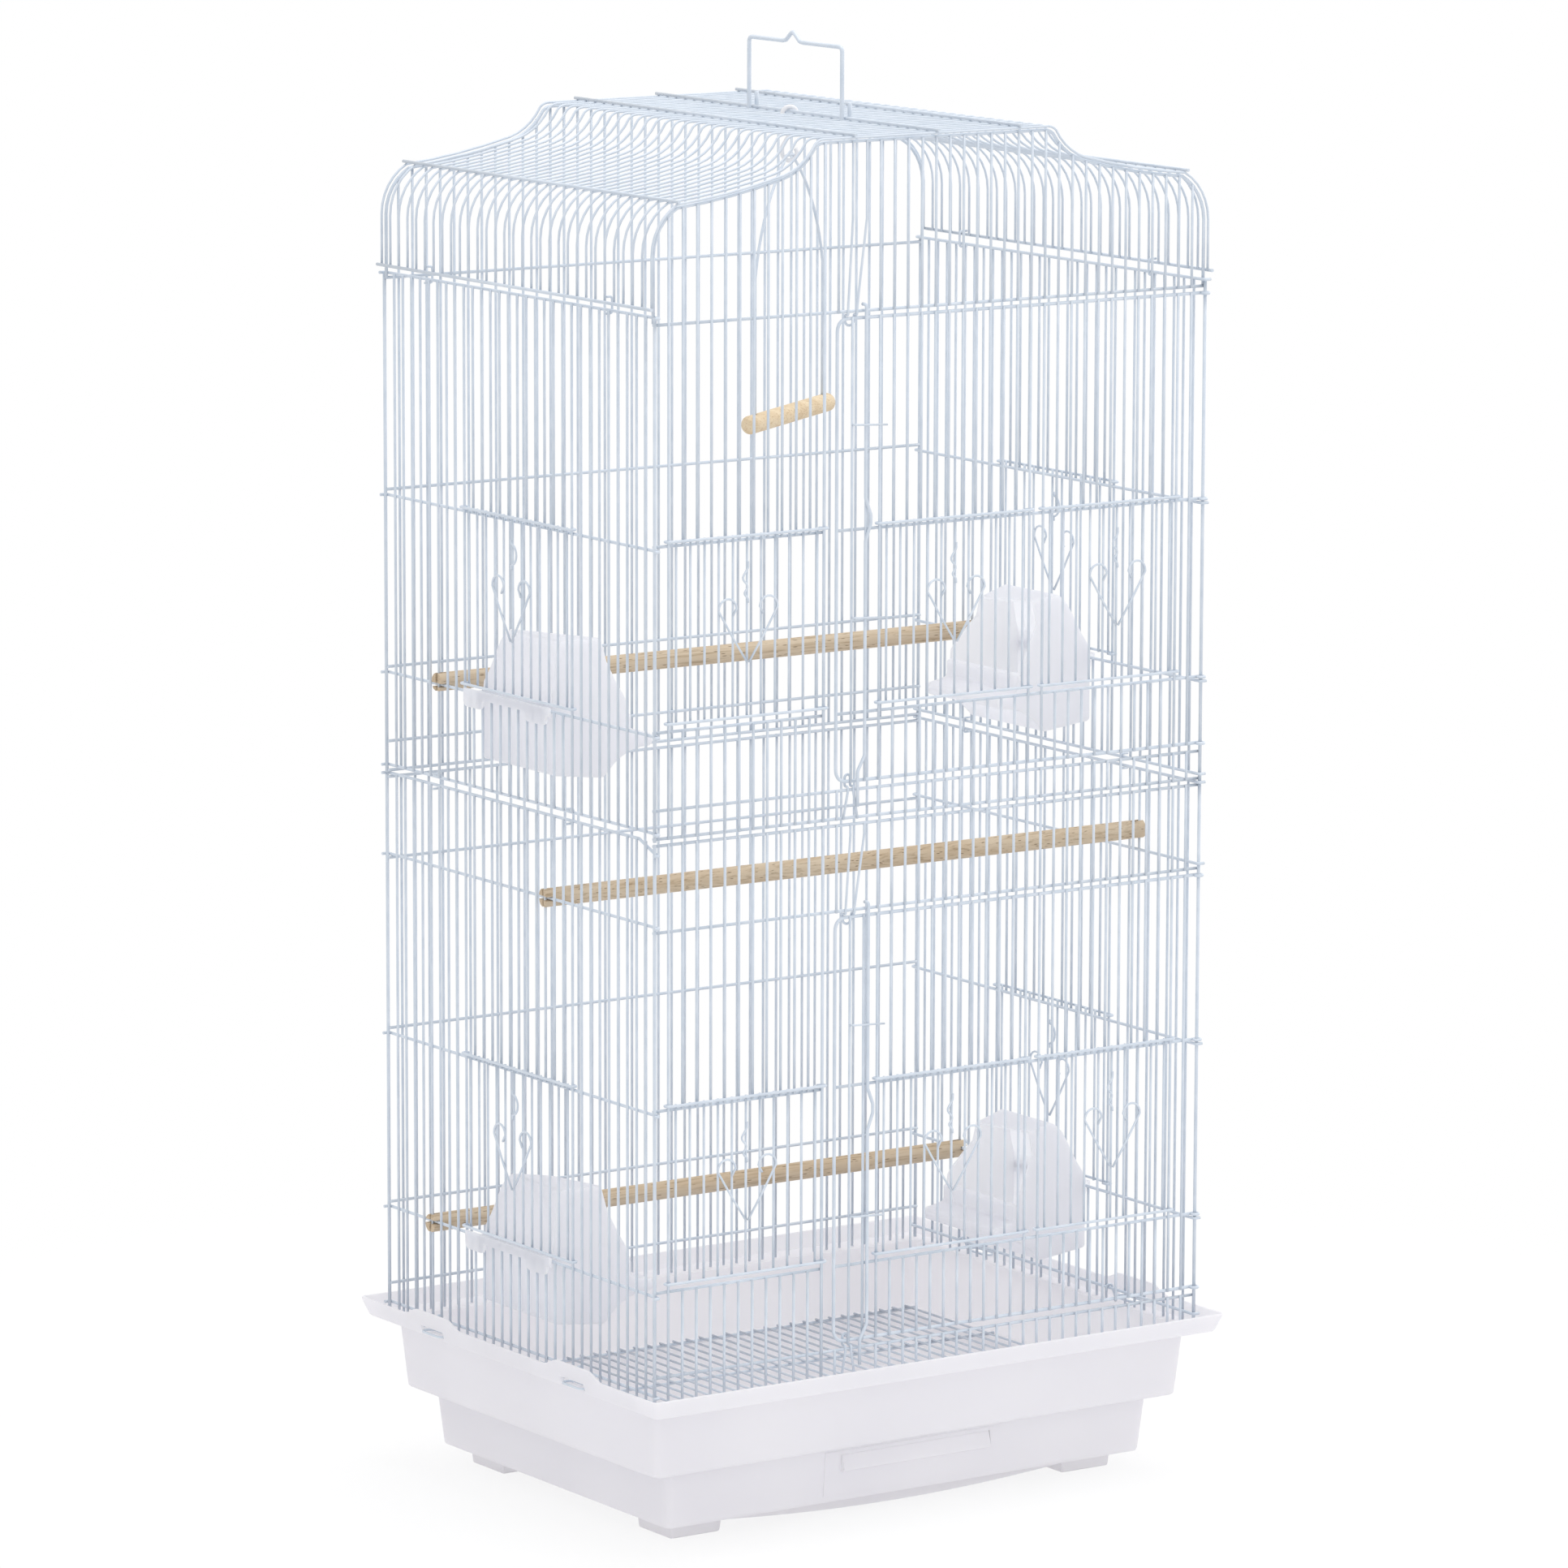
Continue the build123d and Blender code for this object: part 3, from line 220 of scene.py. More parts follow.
def sanded_beech(name, light, dark, fleck, turn=0.0):
    """Raw beech dowel, turned and sanded: long straight grain with short dark ray flecks and a dry,
    matt surface."""
    made, tree, shader, where = material(name)
    dials(shader, Roughness=0.68, IOR=1.5)
    along = put(tree, "ShaderNodeMapping", Vector=where, Rotation=(0, 0, -turn), Scale=(0.04, 1, 1))
    # grain lines about 1.4 mm apart, drawn out 25 times along the dowel
    grain = put(tree, "ShaderNodeTexNoise", Vector=along.outputs["Vector"], Scale=1 / (1.4 * MM), Detail=4.0,
                Roughness=0.6)
    colour = ramp(tree, grain.outputs["Fac"], (0.28, linear(dark)), (0.5, linear(light)),
                  (0.75, linear(light)))
    # broad bands of warmer wood, 8 mm
    band = put(tree, "ShaderNodeTexNoise", Vector=along.outputs["Vector"], Scale=1 / (8 * MM), Detail=1.0)
    warm = put(tree, "ShaderNodeMix", {"data_type": "RGBA", "blend_type": "MULTIPLY"}, Factor=0.5)
    tree.links.new(colour, warm.inputs[6])
    tree.links.new(ramp(tree, band.outputs["Fac"], (0.35, linear("#E6DACA")), (0.65, linear("#FFFFFF"))),
                   warm.inputs[7])
    # ray flecks, 0.5 mm wide and 4 mm long
    rays = put(tree, "ShaderNodeMapping", Vector=where, Rotation=(0, 0, -turn), Scale=(0.13, 1, 1))
    spots = put(tree, "ShaderNodeTexVoronoi", {"feature": "F1"}, Vector=rays.outputs["Vector"],
                Scale=1 / (1.6 * MM))
    mask = ramp(tree, spots.outputs["Distance"], (0.10, (1, 1, 1, 1)), (0.20, (0, 0, 0, 1)))
    flecked = put(tree, "ShaderNodeMix", {"data_type": "RGBA"})
    tree.links.new(mask, flecked.inputs[0])
    tree.links.new(warm.outputs[2], flecked.inputs[6])
    flecked.inputs[7].default_value = linear(fleck)
    tree.links.new(flecked.outputs[2], shader.inputs["Base Color"])
    bump(tree, shader, grain.outputs["Fac"], 0.3, 0.12)
    return made


WIRE_COAT = powder_coated_wire()
TRAY_PLASTIC = moulded_polypropylene()
CUP_PLASTIC = milky_polypropylene()
HOOK_NYLON = moulded_nylon()
DOWEL = sanded_beech("sanded_beech_dowel", "#CFBDA4", "#A99478", "#715D45")
SWING_DOWEL = sanded_beech("pale_beech_perch", "#E6D2B2", "#CFB48D", "#B3905F", radians(33.7))


# ---------------------------------------------------------------- building pieces and wires
def piece(name, bm, node, body, finish):
    """Turns a bmesh into a finished piece that stands for a CAD node."""
    mesh = bpy.data.meshes.new(name)
    bm.to_mesh(mesh)
    bm.free()
    mesh.materials.append(finish)
    made = bpy.data.objects.new(name, mesh)
    bpy.context.scene.collection.objects.link(made)
    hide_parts(node)
    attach(made, body)
    return made


def wires(name, bm, node, body):
    piece(name, bm, node, body, WIRE_COAT)


def straight(bm, a, b, gauge, sides=10):
    """A round wire from a to b with cut ends."""
    a, b = Vector(a) * MM, Vector(b) * MM
    run = b - a
    place = Matrix.Translation((a + b) / 2) @ run.to_track_quat("Z", "Y").to_matrix().to_4x4()
    made = bmesh.ops.create_cone(
        bm, cap_ends=True, segments=sides, radius1=gauge / 2 * MM, radius2=gauge / 2 * MM,
        depth=run.length, matrix=place,
    )
    for face in {f for v in made["verts"] for f in v.link_faces}:
        face.smooth = len(face.verts) == 4


def bent(path, gauge, sides=10, closed=False):
    """A round wire along a path, as a bmesh of its own: one ring, extruded from bend to bend."""
    points = [Vector(p) * MM for p in path]
    bm = bmesh.new()
    count = len(points)

    def heading(i):
        before = points[i - 1] if i or closed else points[0]
        after = points[(i + 1) % count] if i < count - 1 or closed else points[-1]
        u = (points[i] - before).normalized() if before != points[i] else None
        v = (after - points[i]).normalized() if after != points[i] else None
        return ((u or v) + (v or u)).normalized()

    turn = heading(0).to_track_quat("Z", "Y")
    ring = bmesh.ops.create_circle(
        bm, cap_ends=False, segments=sides, radius=gauge / 2 * MM,
        matrix=Matrix.Translation(points[0]) @ turn.to_matrix().to_4x4(),
    )["verts"]
    first = edges = [e for e in bm.edges]
    aim = heading(0)
    for i in range(1, count):
        grown = bmesh.ops.extrude_edge_only(bm, edges=edges)["geom"]
        ring = corners_of(grown)
        edges = [g for g in grown if isinstance(g, bmesh.types.BMEdge)
                 and all(v in ring for v in g.verts)]
        new_aim = heading(i)
        move = Matrix.Translation(points[i]) @ aim.rotation_difference(new_aim).to_matrix().to_4x4() \
            @ Matrix.Translation(-points[i - 1])
        bmesh.ops.transform(bm, matrix=move, verts=ring)
        aim = new_aim
    if closed:
        bmesh.ops.bridge_loops(bm, edges=first + edges)
    else:
        bmesh.ops.edgeloop_fill(bm, edges=first)
        bmesh.ops.edgeloop_fill(bm, edges=edges)
    bmesh.ops.recalc_face_normals(bm, faces=bm.faces)
    for face in bm.faces:
        face.smooth = len(face.verts) == 4
    return bm


def add(bm, part, move=None):
    """Copies one bmesh into another, moved if asked."""
    held = bpy.data.meshes.new("held")
    part.to_mesh(held)
    if move is not None:
        held.transform(move)
        if move.determinant() < 0:
            held.flip_normals()
    bm.from_mesh(held)
    bpy.data.meshes.remove(held)


def corners_of(geom):
    """The vertices among what an operator returned."""
    return [g for g in geom if isinstance(g, bmesh.types.BMVert)]


def slab(bm, outline, along):
    """A flat outline in mm, given a thickness along a direction."""
    face = bm.faces.new([bm.verts.new(Vector(p) * MM) for p in outline])
    grown = bmesh.ops.extrude_face_region(bm, geom=[face])["geom"]
    bmesh.ops.translate(bm, vec=[a * MM for a in along], verts=corners_of(grown))


def wire(bm, path, gauge, sides=10, closed=False):
    part = bent(path, gauge, sides, closed)
    add(bm, part)
    part.free()


def arc(p, q, turn, n):
    """Points from p to q (2-D) along the arc whose direction turns by `turn` degrees, p left out."""
    dx, dz = q[0] - p[0], q[1] - p[1]
    points = []
    for i in range(1, n + 1):
        chord = sin(radians(turn * i / n / 2)) / sin(radians(turn / 2))
        lean = radians(turn * (i / n - 1) / 2)
        points.append((p[0] + chord * (dx * cos(lean) - dz * sin(lean)),
                       p[1] + chord * (dx * sin(lean) + dz * cos(lean))))
    return points


def eased(path, radius, steps=5):
    """A path whose corners are rounded to a bend radius."""
    points = [Vector(p) for p in path]
    out = [points[0]]
    for a, b, c in zip(points, points[1:], points[2:]):
        u, v = (a - b), (c - b)
        angle = u.angle(v)
        if angle > pi - 0.02:
            out.append(b)
            continue
        cut = min(radius / abs(sin(angle / 2) / cos(angle / 2)), u.length * 0.48, v.length * 0.48)
        start, end = b + u.normalized() * cut, b + v.normalized() * cut
        for i in range(steps + 1):
            t = i / steps
            out.append(start * (1 - t) ** 2 + b * 2 * t * (1 - t) + end * t ** 2)
    out.append(points[-1])
    return [tuple(p) for p in out]


class Panel:
    """Places wires of a welded panel by (u along it, depth outwards, z up)."""

    def __init__(self, facing):
        self.place = {
            "front": lambda u, d, z: (u, -d, z),
            "back": lambda u, d, z: (u, d, z),
            "left": lambda u, d, z: (-d, u, z),
            "right": lambda u, d, z: (d, u, z),
        }[facing]
        self.weld = WELD_Y if facing in ("front", "back") else WELD_X

    def upright(self, bm, u, z0, z1, gauge=UPRIGHT):
        depth = self.weld + gauge / 2 - SINK
        straight(bm, self.place(u, depth, z0), self.place(u, depth, z1), gauge)

    def cross(self, bm, z, u0, u1):
        depth = self.weld - BAR / 2 + SINK
        straight(bm, self.place(u0, depth, z), self.place(u1, depth, z), BAR)

    def wire(self, bm, path, gauge, sides=10, closed=False):
        wire(bm, [self.place(*p) for p in path], gauge, sides, closed)


def front_x(k):
    return PITCH * k - HALF_X


def side_y(k):
    return PITCH * k - HALF_Y


POST_DEPTH = WELD_Y + PLAIN_POST / 2
FRONT, BACK, LEFT, RIGHT = Panel("front"), Panel("back"), Panel("left"), Panel("right")
DOOR_X, FRAME_X = front_x(DOOR_GAUGE), front_x(DOOR_GAUGE - 1)


# ---------------------------------------------------------------- roof line
def half_roof(out):
    """Half of the roof line, moved in by `out`, from the eave to the flat top."""
    spring = (SKIN_X - out, SPRING_Z)
    shoulder = (SHOULDER[0] - out / 2, SHOULDER[1] - out)
    ogee = (OGEE[0], OGEE[1] - out)
    lip = (LIP[0] - out / 2, LIP[1] - out)
    top = (TOP[0] - out, TOP[1] - out)
    return (
        [(SKIN_X - out, EAVE_Z), spring]
        + arc(spring, shoulder, 62, 6)
        + arc(shoulder, ogee, -9, 4)
        + arc(ogee, lip, -44, 5)
        + arc(lip, top, 42, 3)
    )


def roof_line(out):
    half = half_roof(out)
    return half + [(-x, z) for x, z in half[::-1]]


def roof_height(u, out):
    half = half_roof(out)
    for (x0, z0), (x1, z1) in zip(half, half[1:]):
        if x1 <= abs(u) <= x0 and x0 > x1:
            return z0 + (z1 - z0) * (x0 - abs(u)) / (x0 - x1)
    return TOP[1] - out


ARCH_IN = WIRE / 2 + POST / 2 + AIR


# ---------------------------------------------------------------- front and back panels
def catch(u0, u1, depth, near, tip):
    """Points of the loop that joins two wires behind the large door's edge wire."""
    inner = WELD_Y - PLAIN_BAR - AIR - WIRE / 2
    way = 1 if tip > near else -1
    bend = tip - way * (u1 - u0) / 2
    middle = [(u, inner, z) for u, z in [(u0, bend)] + arc((u0, bend), (u1, bend), -way * 180, 8)]
    return [(u0, depth, near), (u0, inner, near)] + middle + [(u1, inner, near), (u1, depth, near)]


def leaning_pair(bm, foot, tops):
    """The two uprights that lean together over a latch: one wire, looped behind the door's edge."""
    depth = WELD_Y + UPRIGHT / 2 - SINK
    near = foot - PASS
    sides = []
    for k, u0, top in zip(V_WIRES, V_FOOT, tops):
        bend = foot + (60 if top - foot > 60 else 50)
        sides.append([(front_x(k), depth, top), (front_x(k), depth, bend), (u0, depth, foot + 2)])
    loop = catch(V_FOOT[0], V_FOOT[1], depth, near, foot - CATCH_DROP)
    FRONT.wire(bm, eased(sides[0] + loop + sides[1][::-1], 1.2, 3), THIN)


def keeper(bm, bottom, bar):
    """The same two wires below a large door; their loop stands beside the latch's foot."""
    depth = WELD_Y + UPRIGHT / 2 - SINK
    loop = catch(V_HEAD[0], V_HEAD[1], depth, bar + PASS, bar + CATCH_RISE)
    path = [(V_SPREAD[0], depth, bottom), (V_HEAD[0], depth, bar - 1)] + loop
    path += [(V_HEAD[1], depth, bar - 1), (V_SPREAD[1], depth, bottom)]
    FRONT.wire(bm, eased(path, 1.2, 3), THIN)


def fixed_bay(bm, bottom, sill, ends):
    lintel = sill + HATCH_GAP
    for z in (sill, lintel):
        FRONT.cross(bm, z, -HALF_X, FRAME_X)
    for k in range(1, DOOR_GAUGE):
        u = front_x(k)
        gauge = POST if k == DOOR_GAUGE - 1 else UPRIGHT
        if k in LEFT_HATCH:
            FRONT.upright(bm, u, bottom, ends(k), min(gauge, 2.2))
        else:
            FRONT.upright(bm, u, bottom, sill)
            FRONT.upright(bm, u, lintel, ends(k))


def skirt(bm, z0, z1, leaning=()):
    for k in range(DOOR_GAUGE, FRONT_GAPS):
        if k not in leaning:
            FRONT.upright(bm, front_x(k), z0, z1)


def posts(bm, panel, z0, z1):
    for u in (-HALF_X, HALF_X):
        straight(bm, panel.place(u, POST_DEPTH, z0), panel.place(u, POST_DEPTH, z1), PLAIN_POST)


def lower_front():
    bm = bmesh.new()
    for z in (LOW_FIRST, LOW_HEAD, LOW_TOP):
        FRONT.cross(bm, z, -HALF_X, HALF_X)
    posts(bm, FRONT, PAN_FLOOR + AIR, LOW_TOP + 1.5)
    fixed_bay(bm, PAN_FLOOR + AIR, LOW_SILL, lambda k: LOW_TOP + OVER)
    skirt(bm, PAN_FLOOR + AIR, LOW_FIRST + OVER, V_WIRES)
    keeper(bm, PAN_FLOOR + AIR, LOW_FIRST)
    skirt(bm, LOW_HEAD - OVER, LOW_TOP + OVER, V_WIRES)
    leaning_pair(bm, LOW_HEAD, (LOW_TOP, LOW_TOP))
    wires("lower_front_wires", bm, "lower_front_panel", "cage")


def lower_back():
    bm = bmesh.new()
    for z in (LOW_FIRST, LOW_SILL, LOW_SILL + HATCH_GAP, LOW_HEAD):
        BACK.cross(bm, z + BACK_RISE, -HALF_X, HALF_X)
    BACK.cross(bm, LOW_TOP, -HALF_X, HALF_X)
    posts(bm, BACK, PAN_FLOOR + AIR, LOW_TOP + 1.5)
    for k in range(1, FRONT_GAPS):
        BACK.upright(bm, front_x(k), PAN_FLOOR + AIR, LOW_TOP + OVER)
    wires("lower_back_wires", bm, "lower_back_panel", "cage")


def arch(bm, panel):
    """The corner posts and the arch over them are one bent wire."""
    depth = WELD_Y - 1.0
    line = [(x, depth, z) for x, z in roof_line(ARCH_IN)]
    line = [(HALF_X - 0.2, depth, UP_TOP + 1)] + line[1:-1] + [(-HALF_X + 0.2, depth, UP_TOP + 1)]
    panel.wire(bm, line, DOOR_WIRE)


def upper_front():
    bm = bmesh.new()
    for z in (UP_BOTTOM, UP_SECOND, UP_TOP):
        FRONT.cross(bm, z, -HALF_X, HALF_X)
    posts(bm, FRONT, UP_BOTTOM - 1.6, UP_TOP + 4)
    fixed_bay(bm, UP_BOTTOM - OVER, UP_SILL, lambda k: roof_height(front_x(k), ARCH_IN))
    skirt(bm, UP_BOTTOM - OVER, UP_SECOND + OVER, V_WIRES)
    keeper(bm, UP_BOTTOM - OVER, UP_SECOND)
    arch(bm, FRONT)
    for k in range(DOOR_GAUGE, FRONT_GAPS):
        if k not in V_WIRES:
            FRONT.upright(bm, front_x(k), UP_TOP - OVER, roof_height(front_x(k), ARCH_IN))
    leaning_pair(bm, UP_TOP, [roof_height(front_x(k), ARCH_IN) for k in V_WIRES])
    wires("upper_front_wires", bm, "upper_front_panel", "cage")


def upper_back():
    bm = bmesh.new()
    BACK.cross(bm, UP_BOTTOM, -HALF_X, HALF_X)
    for z in (UP_SECOND, UP_SILL, UP_SILL + HATCH_GAP, UP_TOP):
        BACK.cross(bm, z + BACK_RISE, -HALF_X, HALF_X)
    posts(bm, BACK, UP_BOTTOM - 1.6, UP_TOP + 4)
    arch(bm, BACK)
    for k in range(1, FRONT_GAPS):
        BACK.upright(bm, front_x(k), UP_BOTTOM - OVER, roof_height(front_x(k), ARCH_IN))
    wires("upper_back_wires", bm, "upper_back_panel", "cage")


# ---------------------------------------------------------------- side panels
def hooked_bar(bm, panel, z, droop=0.0):
    """A side bar whose two ends turn round the corner posts; the front end may droop."""
    depth = WELD_X - BAR / 2 + SINK
    reach = WELD_Y + PLAIN_POST + AIR + BAR / 2
    tip = HALF_X + PLAIN_POST / 2 + AIR + BAR / 2
    path = [(-reach, tip, z - droop), (-reach, depth, z - droop), (6 - reach, depth, z - droop * 0.9),
            (24 - reach, depth, z), (reach, depth, z), (reach, tip, z)]
    panel.wire(bm, eased(path, 2.0), BAR)


def side_panel(name, panel, levels, sill, z0, z1):
    bm = bmesh.new()
    for z in levels:
        hooked_bar(bm, panel, z, 8.0 if panel is LEFT and z == LOW_SIDE_TOP else 0.0)
    for k in range(1, SIDE_GAPS):
        if SIDE_HATCH[0] < k < SIDE_HATCH[1]:
            panel.upright(bm, side_y(k), z0, sill)
            panel.upright(bm, side_y(k), sill + HATCH_GAP, z1)
        else:
            panel.upright(bm, side_y(k), z0, z1)
    wires(name.replace("panel", "wires"), bm, name, "cage")


# ---------------------------------------------------------------- roof skin
def roof_skin():
    bm = bmesh.new()
    one = bent([(x, 0, z) for x, z in roof_line(0)], THIN, 8)
    for k in range(SIDE_GAPS + 1):
        add(bm, one, Matrix.Translation((0, side_y(k) * MM, 0)))
    one.free()
    reach = HALF_Y + 3
    for x in (-ROOF_BAR_X, 0, ROOF_BAR_X):
        straight(bm, (x, -reach, BAR_AXIS), (x, reach, BAR_AXIS), ROOF_BAR, 12)
    for way in (-1, 1):
        x = way * (SKIN_X + WIRE / 2 + ROOF_BAR / 2)
        straight(bm, (x, -reach, EAVE_Z + 0.1), (x, reach, EAVE_Z + 0.1), ROOF_BAR, 12)
        x, z = way * (SHOULDER[0] + 0.6), SHOULDER[1] + 1.8
        straight(bm, (x, -reach, z), (x, reach, z), ROOF_BAR, 12)
    wires("roof_wires", bm, "roof_skin", "cage")


# ---------------------------------------------------------------- hooks between panels
def tie(bm, panel, u, low, high):
    """A wire hook bent round two bars, one above the other."""
    inner = panel.weld - BAR - AIR - WIRE / 2
    outer = inner + 6.2
    a, b = low - BAR / 2 - AIR - WIRE / 2, high + BAR / 2 + AIR + WIRE / 2
    path = [(u, outer, a), (u, inner, a), (u, inner, b), (u, outer, b)]
    panel.wire(bm, eased(path, 2.2), WIRE)


def hooks():
    bm = bmesh.new()
    for panel in (LEFT, RIGHT):
        for y in (-110.0, 110.0):
            tie(bm, panel, y + 1.7, UP_SIDE_TOP, EAVE_Z + 1)
    wires("roof_hook_wires", bm, "roof_hooks", "cage")
    bm = bmesh.new()
    for panel, spots in ((LEFT, (104.5, -60.5)), (RIGHT, (104.0, -81.0))):
        for y in spots:
            tie(bm, panel, y - 0.8, LOW_SIDE_TOP, UP_LEVELS[0])
    wires("tier_hook_wires", bm, "tier_hooks", "cage")


# ---------------------------------------------------------------- large doors
def eye(z):
    """Points of a wire's end curled round the hinge post, seen from above."""
    radius = PLAIN_POST / 2 + AIR + BAR / 2
    points = []
    for i in range(15):
        a = radians(-90 + 20 * i)
        points.append((HALF_X + radius * cos(a), POST_DEPTH + radius * sin(a), z))
    return points


def large_door(tier, bottom, sill, top):
    bm = bmesh.new()
    low, high, lintel = bottom + DOOR_RISE, top - DOOR_DROP, sill + HATCH_GAP
    depth = WELD_Y - BAR / 2 + SINK
    frame_path = [(HALF_X - 3, POST_DEPTH - 2.5, high), (HALF_X - 9, depth, high), (DOOR_X, depth, high),
                  (DOOR_X, depth, low), (HALF_X - 9, depth, low), (HALF_X - 3, POST_DEPTH - 2.5, low)]
    outline = eased(frame_path, DOOR_CORNER, 7)
    FRONT.wire(bm, eye(high)[::-1] + outline[1:-1] + eye(low), DOOR_WIRE)
    for z in (sill, lintel):
        FRONT.wire(bm, [(DOOR_X, depth, z), (HALF_X - 9, depth, z)] + eye(z), BAR)
    for k in range(DOOR_GAUGE + 1, FRONT_GAPS):
        u = front_x(k)
        if MID_HATCH[0] < k < MID_HATCH[1] or RIGHT_HATCH[0] < k < RIGHT_HATCH[1]:
            FRONT.upright(bm, u, low - OVER, sill)
            FRONT.upright(bm, u, lintel, high + OVER)
        else:
            FRONT.upright(bm, u, low - OVER, high + OVER)
    for z in {"upper": (740, 613), "lower": (342, 213)}[tier]:
        staple(bm, z)
    wires(tier + "_door_wires", bm, tier + "_door", tier + "_door_body")


def staple(bm, z):
    """A thin bridge that keeps the latch rod on the door; its free end overhangs."""
    inner, outer = WELD_Y + 1.2, WELD_Y + WIRE + 2 * AIR + 2.0 + 0.8
    near, leg, far = front_x(14), front_x(15) + 0.6, front_x(16) + 3
    path = [(near, inner, z - 0.4), (near - 0.6, outer, z), (far, outer, z - 1.4)]
    FRONT.wire(bm, eased(path, 1.2), STAPLE, 8)
    straight(bm, FRONT.place(leg, inner, z - 0.6), FRONT.place(leg, outer, z - 0.6), STAPLE, 8)


def latch_rod(tier, rod_x, bottom, jog, kink, top):
    """The long latch wire: finger kink, jog at the foot, and a bent top over the panel's bar."""
    depth = WELD_Y + WIRE + AIR + 1.0
    path = [
        (rod_x - 5.5, depth, bottom - 11), (rod_x - 5.5, depth, jog), (rod_x, depth, jog + 10),
        (rod_x, depth, kink - 14), (rod_x + 4.2, depth, kink - 3), (rod_x + 4.2, depth, kink + 3),
        (rod_x, depth, kink + 14), (rod_x, depth, top + 4.2), (rod_x - 0.2, WELD_Y - 1.2, top + 4.2),
    ]
    bm = bmesh.new()
    FRONT.wire(bm, eased(path, 5.0), ROD)
    wires(tier + "_latch_wire", bm, tier + "_latch", tier + "_latch_body")


# ---------------------------------------------------------------- small lift doors
def hatch(node, panel, span, sill, place):
    """A lift door: two bars looped round the guides, upright wires, a heart and a pull. The pull is
    waved in front and D-shaped on the sides."""
    bm = bmesh.new()
    low, high = sill + 5.5, sill + HATCH_GAP + 3.0
    u0, u1 = place(span[0]), place(span[1])
    face = panel.weld + WIRE + AIR
    loop = PLAIN_POST / 2 + AIR + WIRE / 2
    for z in (low, high):
        a, b = face + 1.0, panel.weld - AIR - WIRE / 2
        path = [(u0 + loop + 0.4, b, z), (u0 - loop, b, z), (u0 - loop, a, z), (u1 + loop, a, z),
                (u1 + loop, b, z), (u1 - loop - 0.4, b, z)]
        panel.wire(bm, eased(path, 2.2), UPRIGHT)
    count = span[1] - span[0]
    mid = u0 + PITCH * (count // 2 + 0.5)
    pull = sill + 88.0
    depth = face - WIRE / 2
    for k in range(count):
        u = u0 + PITCH * (k + 0.5)
        straight(bm, panel.place(u, depth, low - OVER), panel.place(u, depth, high + OVER), THIN)
    if panel is FRONT:
        wave = [(0, -8), (0, -5), (-3.6, -2), (0.6, 2.5), (-4.8, 8), (0, 15), (0, 19)]
    else:
        wave = [(0, 1), (0, 4)] + arc((0, 4), (0, 18.5), -165, 10) + [(0, 21)]
        wave = [(-abs(u), z) for u, z in wave]
    panel.wire(bm, eased([(mid + u, face + 0.5, pull + z) for u, z in wave], 3.0, 3), FINE, 8)
    tip, rise, half, curl = sill + 41.0, 36.0, 23.0, 7.0
    for way in (-1, 1):
        side_u = mid + way * half
        eye_end = (mid + way * (half - 2 * curl), tip + rise)
        line = [(mid + way * 0.7, tip), (mid + way * half * 0.55, tip + rise * 0.5), (side_u, tip + rise - 1)]
        line += arc((side_u, tip + rise - 1), eye_end, way * 180, 9)
        line.append((eye_end[0] + way * 3, eye_end[1] - 5))
        panel.wire(bm, [(u, face + 0.7, z) for u, z in line], FINE, 8)
    wires(node + "_wires", bm, node, node + "_body")


# ---------------------------------------------------------------- base clips
def clip(node, way, y):
    """A hook over the side panel's lowest bar that ends in a flat oval outside the rim."""
    bm = bmesh.new()
    back_x = WELD_X - PLAIN_BAR - AIR - WIRE / 2
    top = SIDE_FIRST + PLAIN_BAR / 2 + AIR + WIRE / 2
    z = PAN_FLOOR + 1.9
    middle, half_w, half_l = 226.9, 4.7, 12.5
    hook = [(back_x, y, SIDE_FIRST - 3), (back_x, y, top), (WELD_X + 1.2, y, top),
            (middle - half_w, y - 1, z + 0.4), (middle - half_w + 2, y - 1.5, z)]
    wire(bm, [(way * x, v, h) for x, v, h in eased(hook, 1.8)], WIRE)
    oval = []
    for i in range(24):
        turn = 2 * pi * i / 24
        end = half_l - half_w if sin(turn) > 0 else half_w - half_l
        oval.append((way * (middle + half_w * cos(turn)), y + RING_ON + half_w * sin(turn) + end, z))
    wire(bm, oval, WIRE, closed=True)
    wires(node + "_wire", bm, node, node + "_body")


# ---------------------------------------------------------------- solid pieces from the CAD
def bevel_edges(bm, edges, radius, steps):
    bmesh.ops.bevel(bm, geom=edges, offset=radius * MM, offset_type="OFFSET", affect="EDGES",
                    segments=steps, profile=0.5, material=-1, clamp_overlap=True)


def bevel_corners(bm, verts, radius, steps):
    bmesh.ops.bevel(bm, geom=verts, offset=radius * MM, offset_type="OFFSET", affect="VERTICES",
                    segments=steps, profile=0.5, material=-1)


def turned_edges(bm, degrees):
    """Edges whose two faces meet at more than so many degrees."""
    return [e for e in bm.edges if len(e.link_faces) == 2 and e.calc_face_angle(0) > radians(degrees)]


def moulded_piece(name, bm, node, body, finish):
    """A piece shaded smooth, with its normals kept true on the flat walls."""
    for face in bm.faces:
        face.smooth = True
    made = piece(name, bm, node, body, finish)
    made.modifiers.new("shading", "WEIGHTED_NORMAL").keep_sharp = True


def crisp(bm):
    """Marks the edges that stay sharp: only those under 40 degrees are shaded over."""
    for edge in bm.edges:
        edge.smooth = len(edge.link_faces) != 2 or edge.calc_face_angle(0) < radians(40)


def softened(node, name, body, finish, radius):
    """A CAD node with its edges broken, as moulded or sanded edges are."""
    bm = bmesh.new()
    bm.from_mesh(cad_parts[node].data)
    bmesh.ops.remove_doubles(bm, verts=bm.verts, dist=1e-6)
    bmesh.ops.dissolve_limit(bm, angle_limit=radians(1.0), verts=bm.verts, edges=bm.edges)
    bevel_edges(bm, turned_edges(bm, 25), radius, 2)
    moulded_piece(name, bm, node, body, finish)


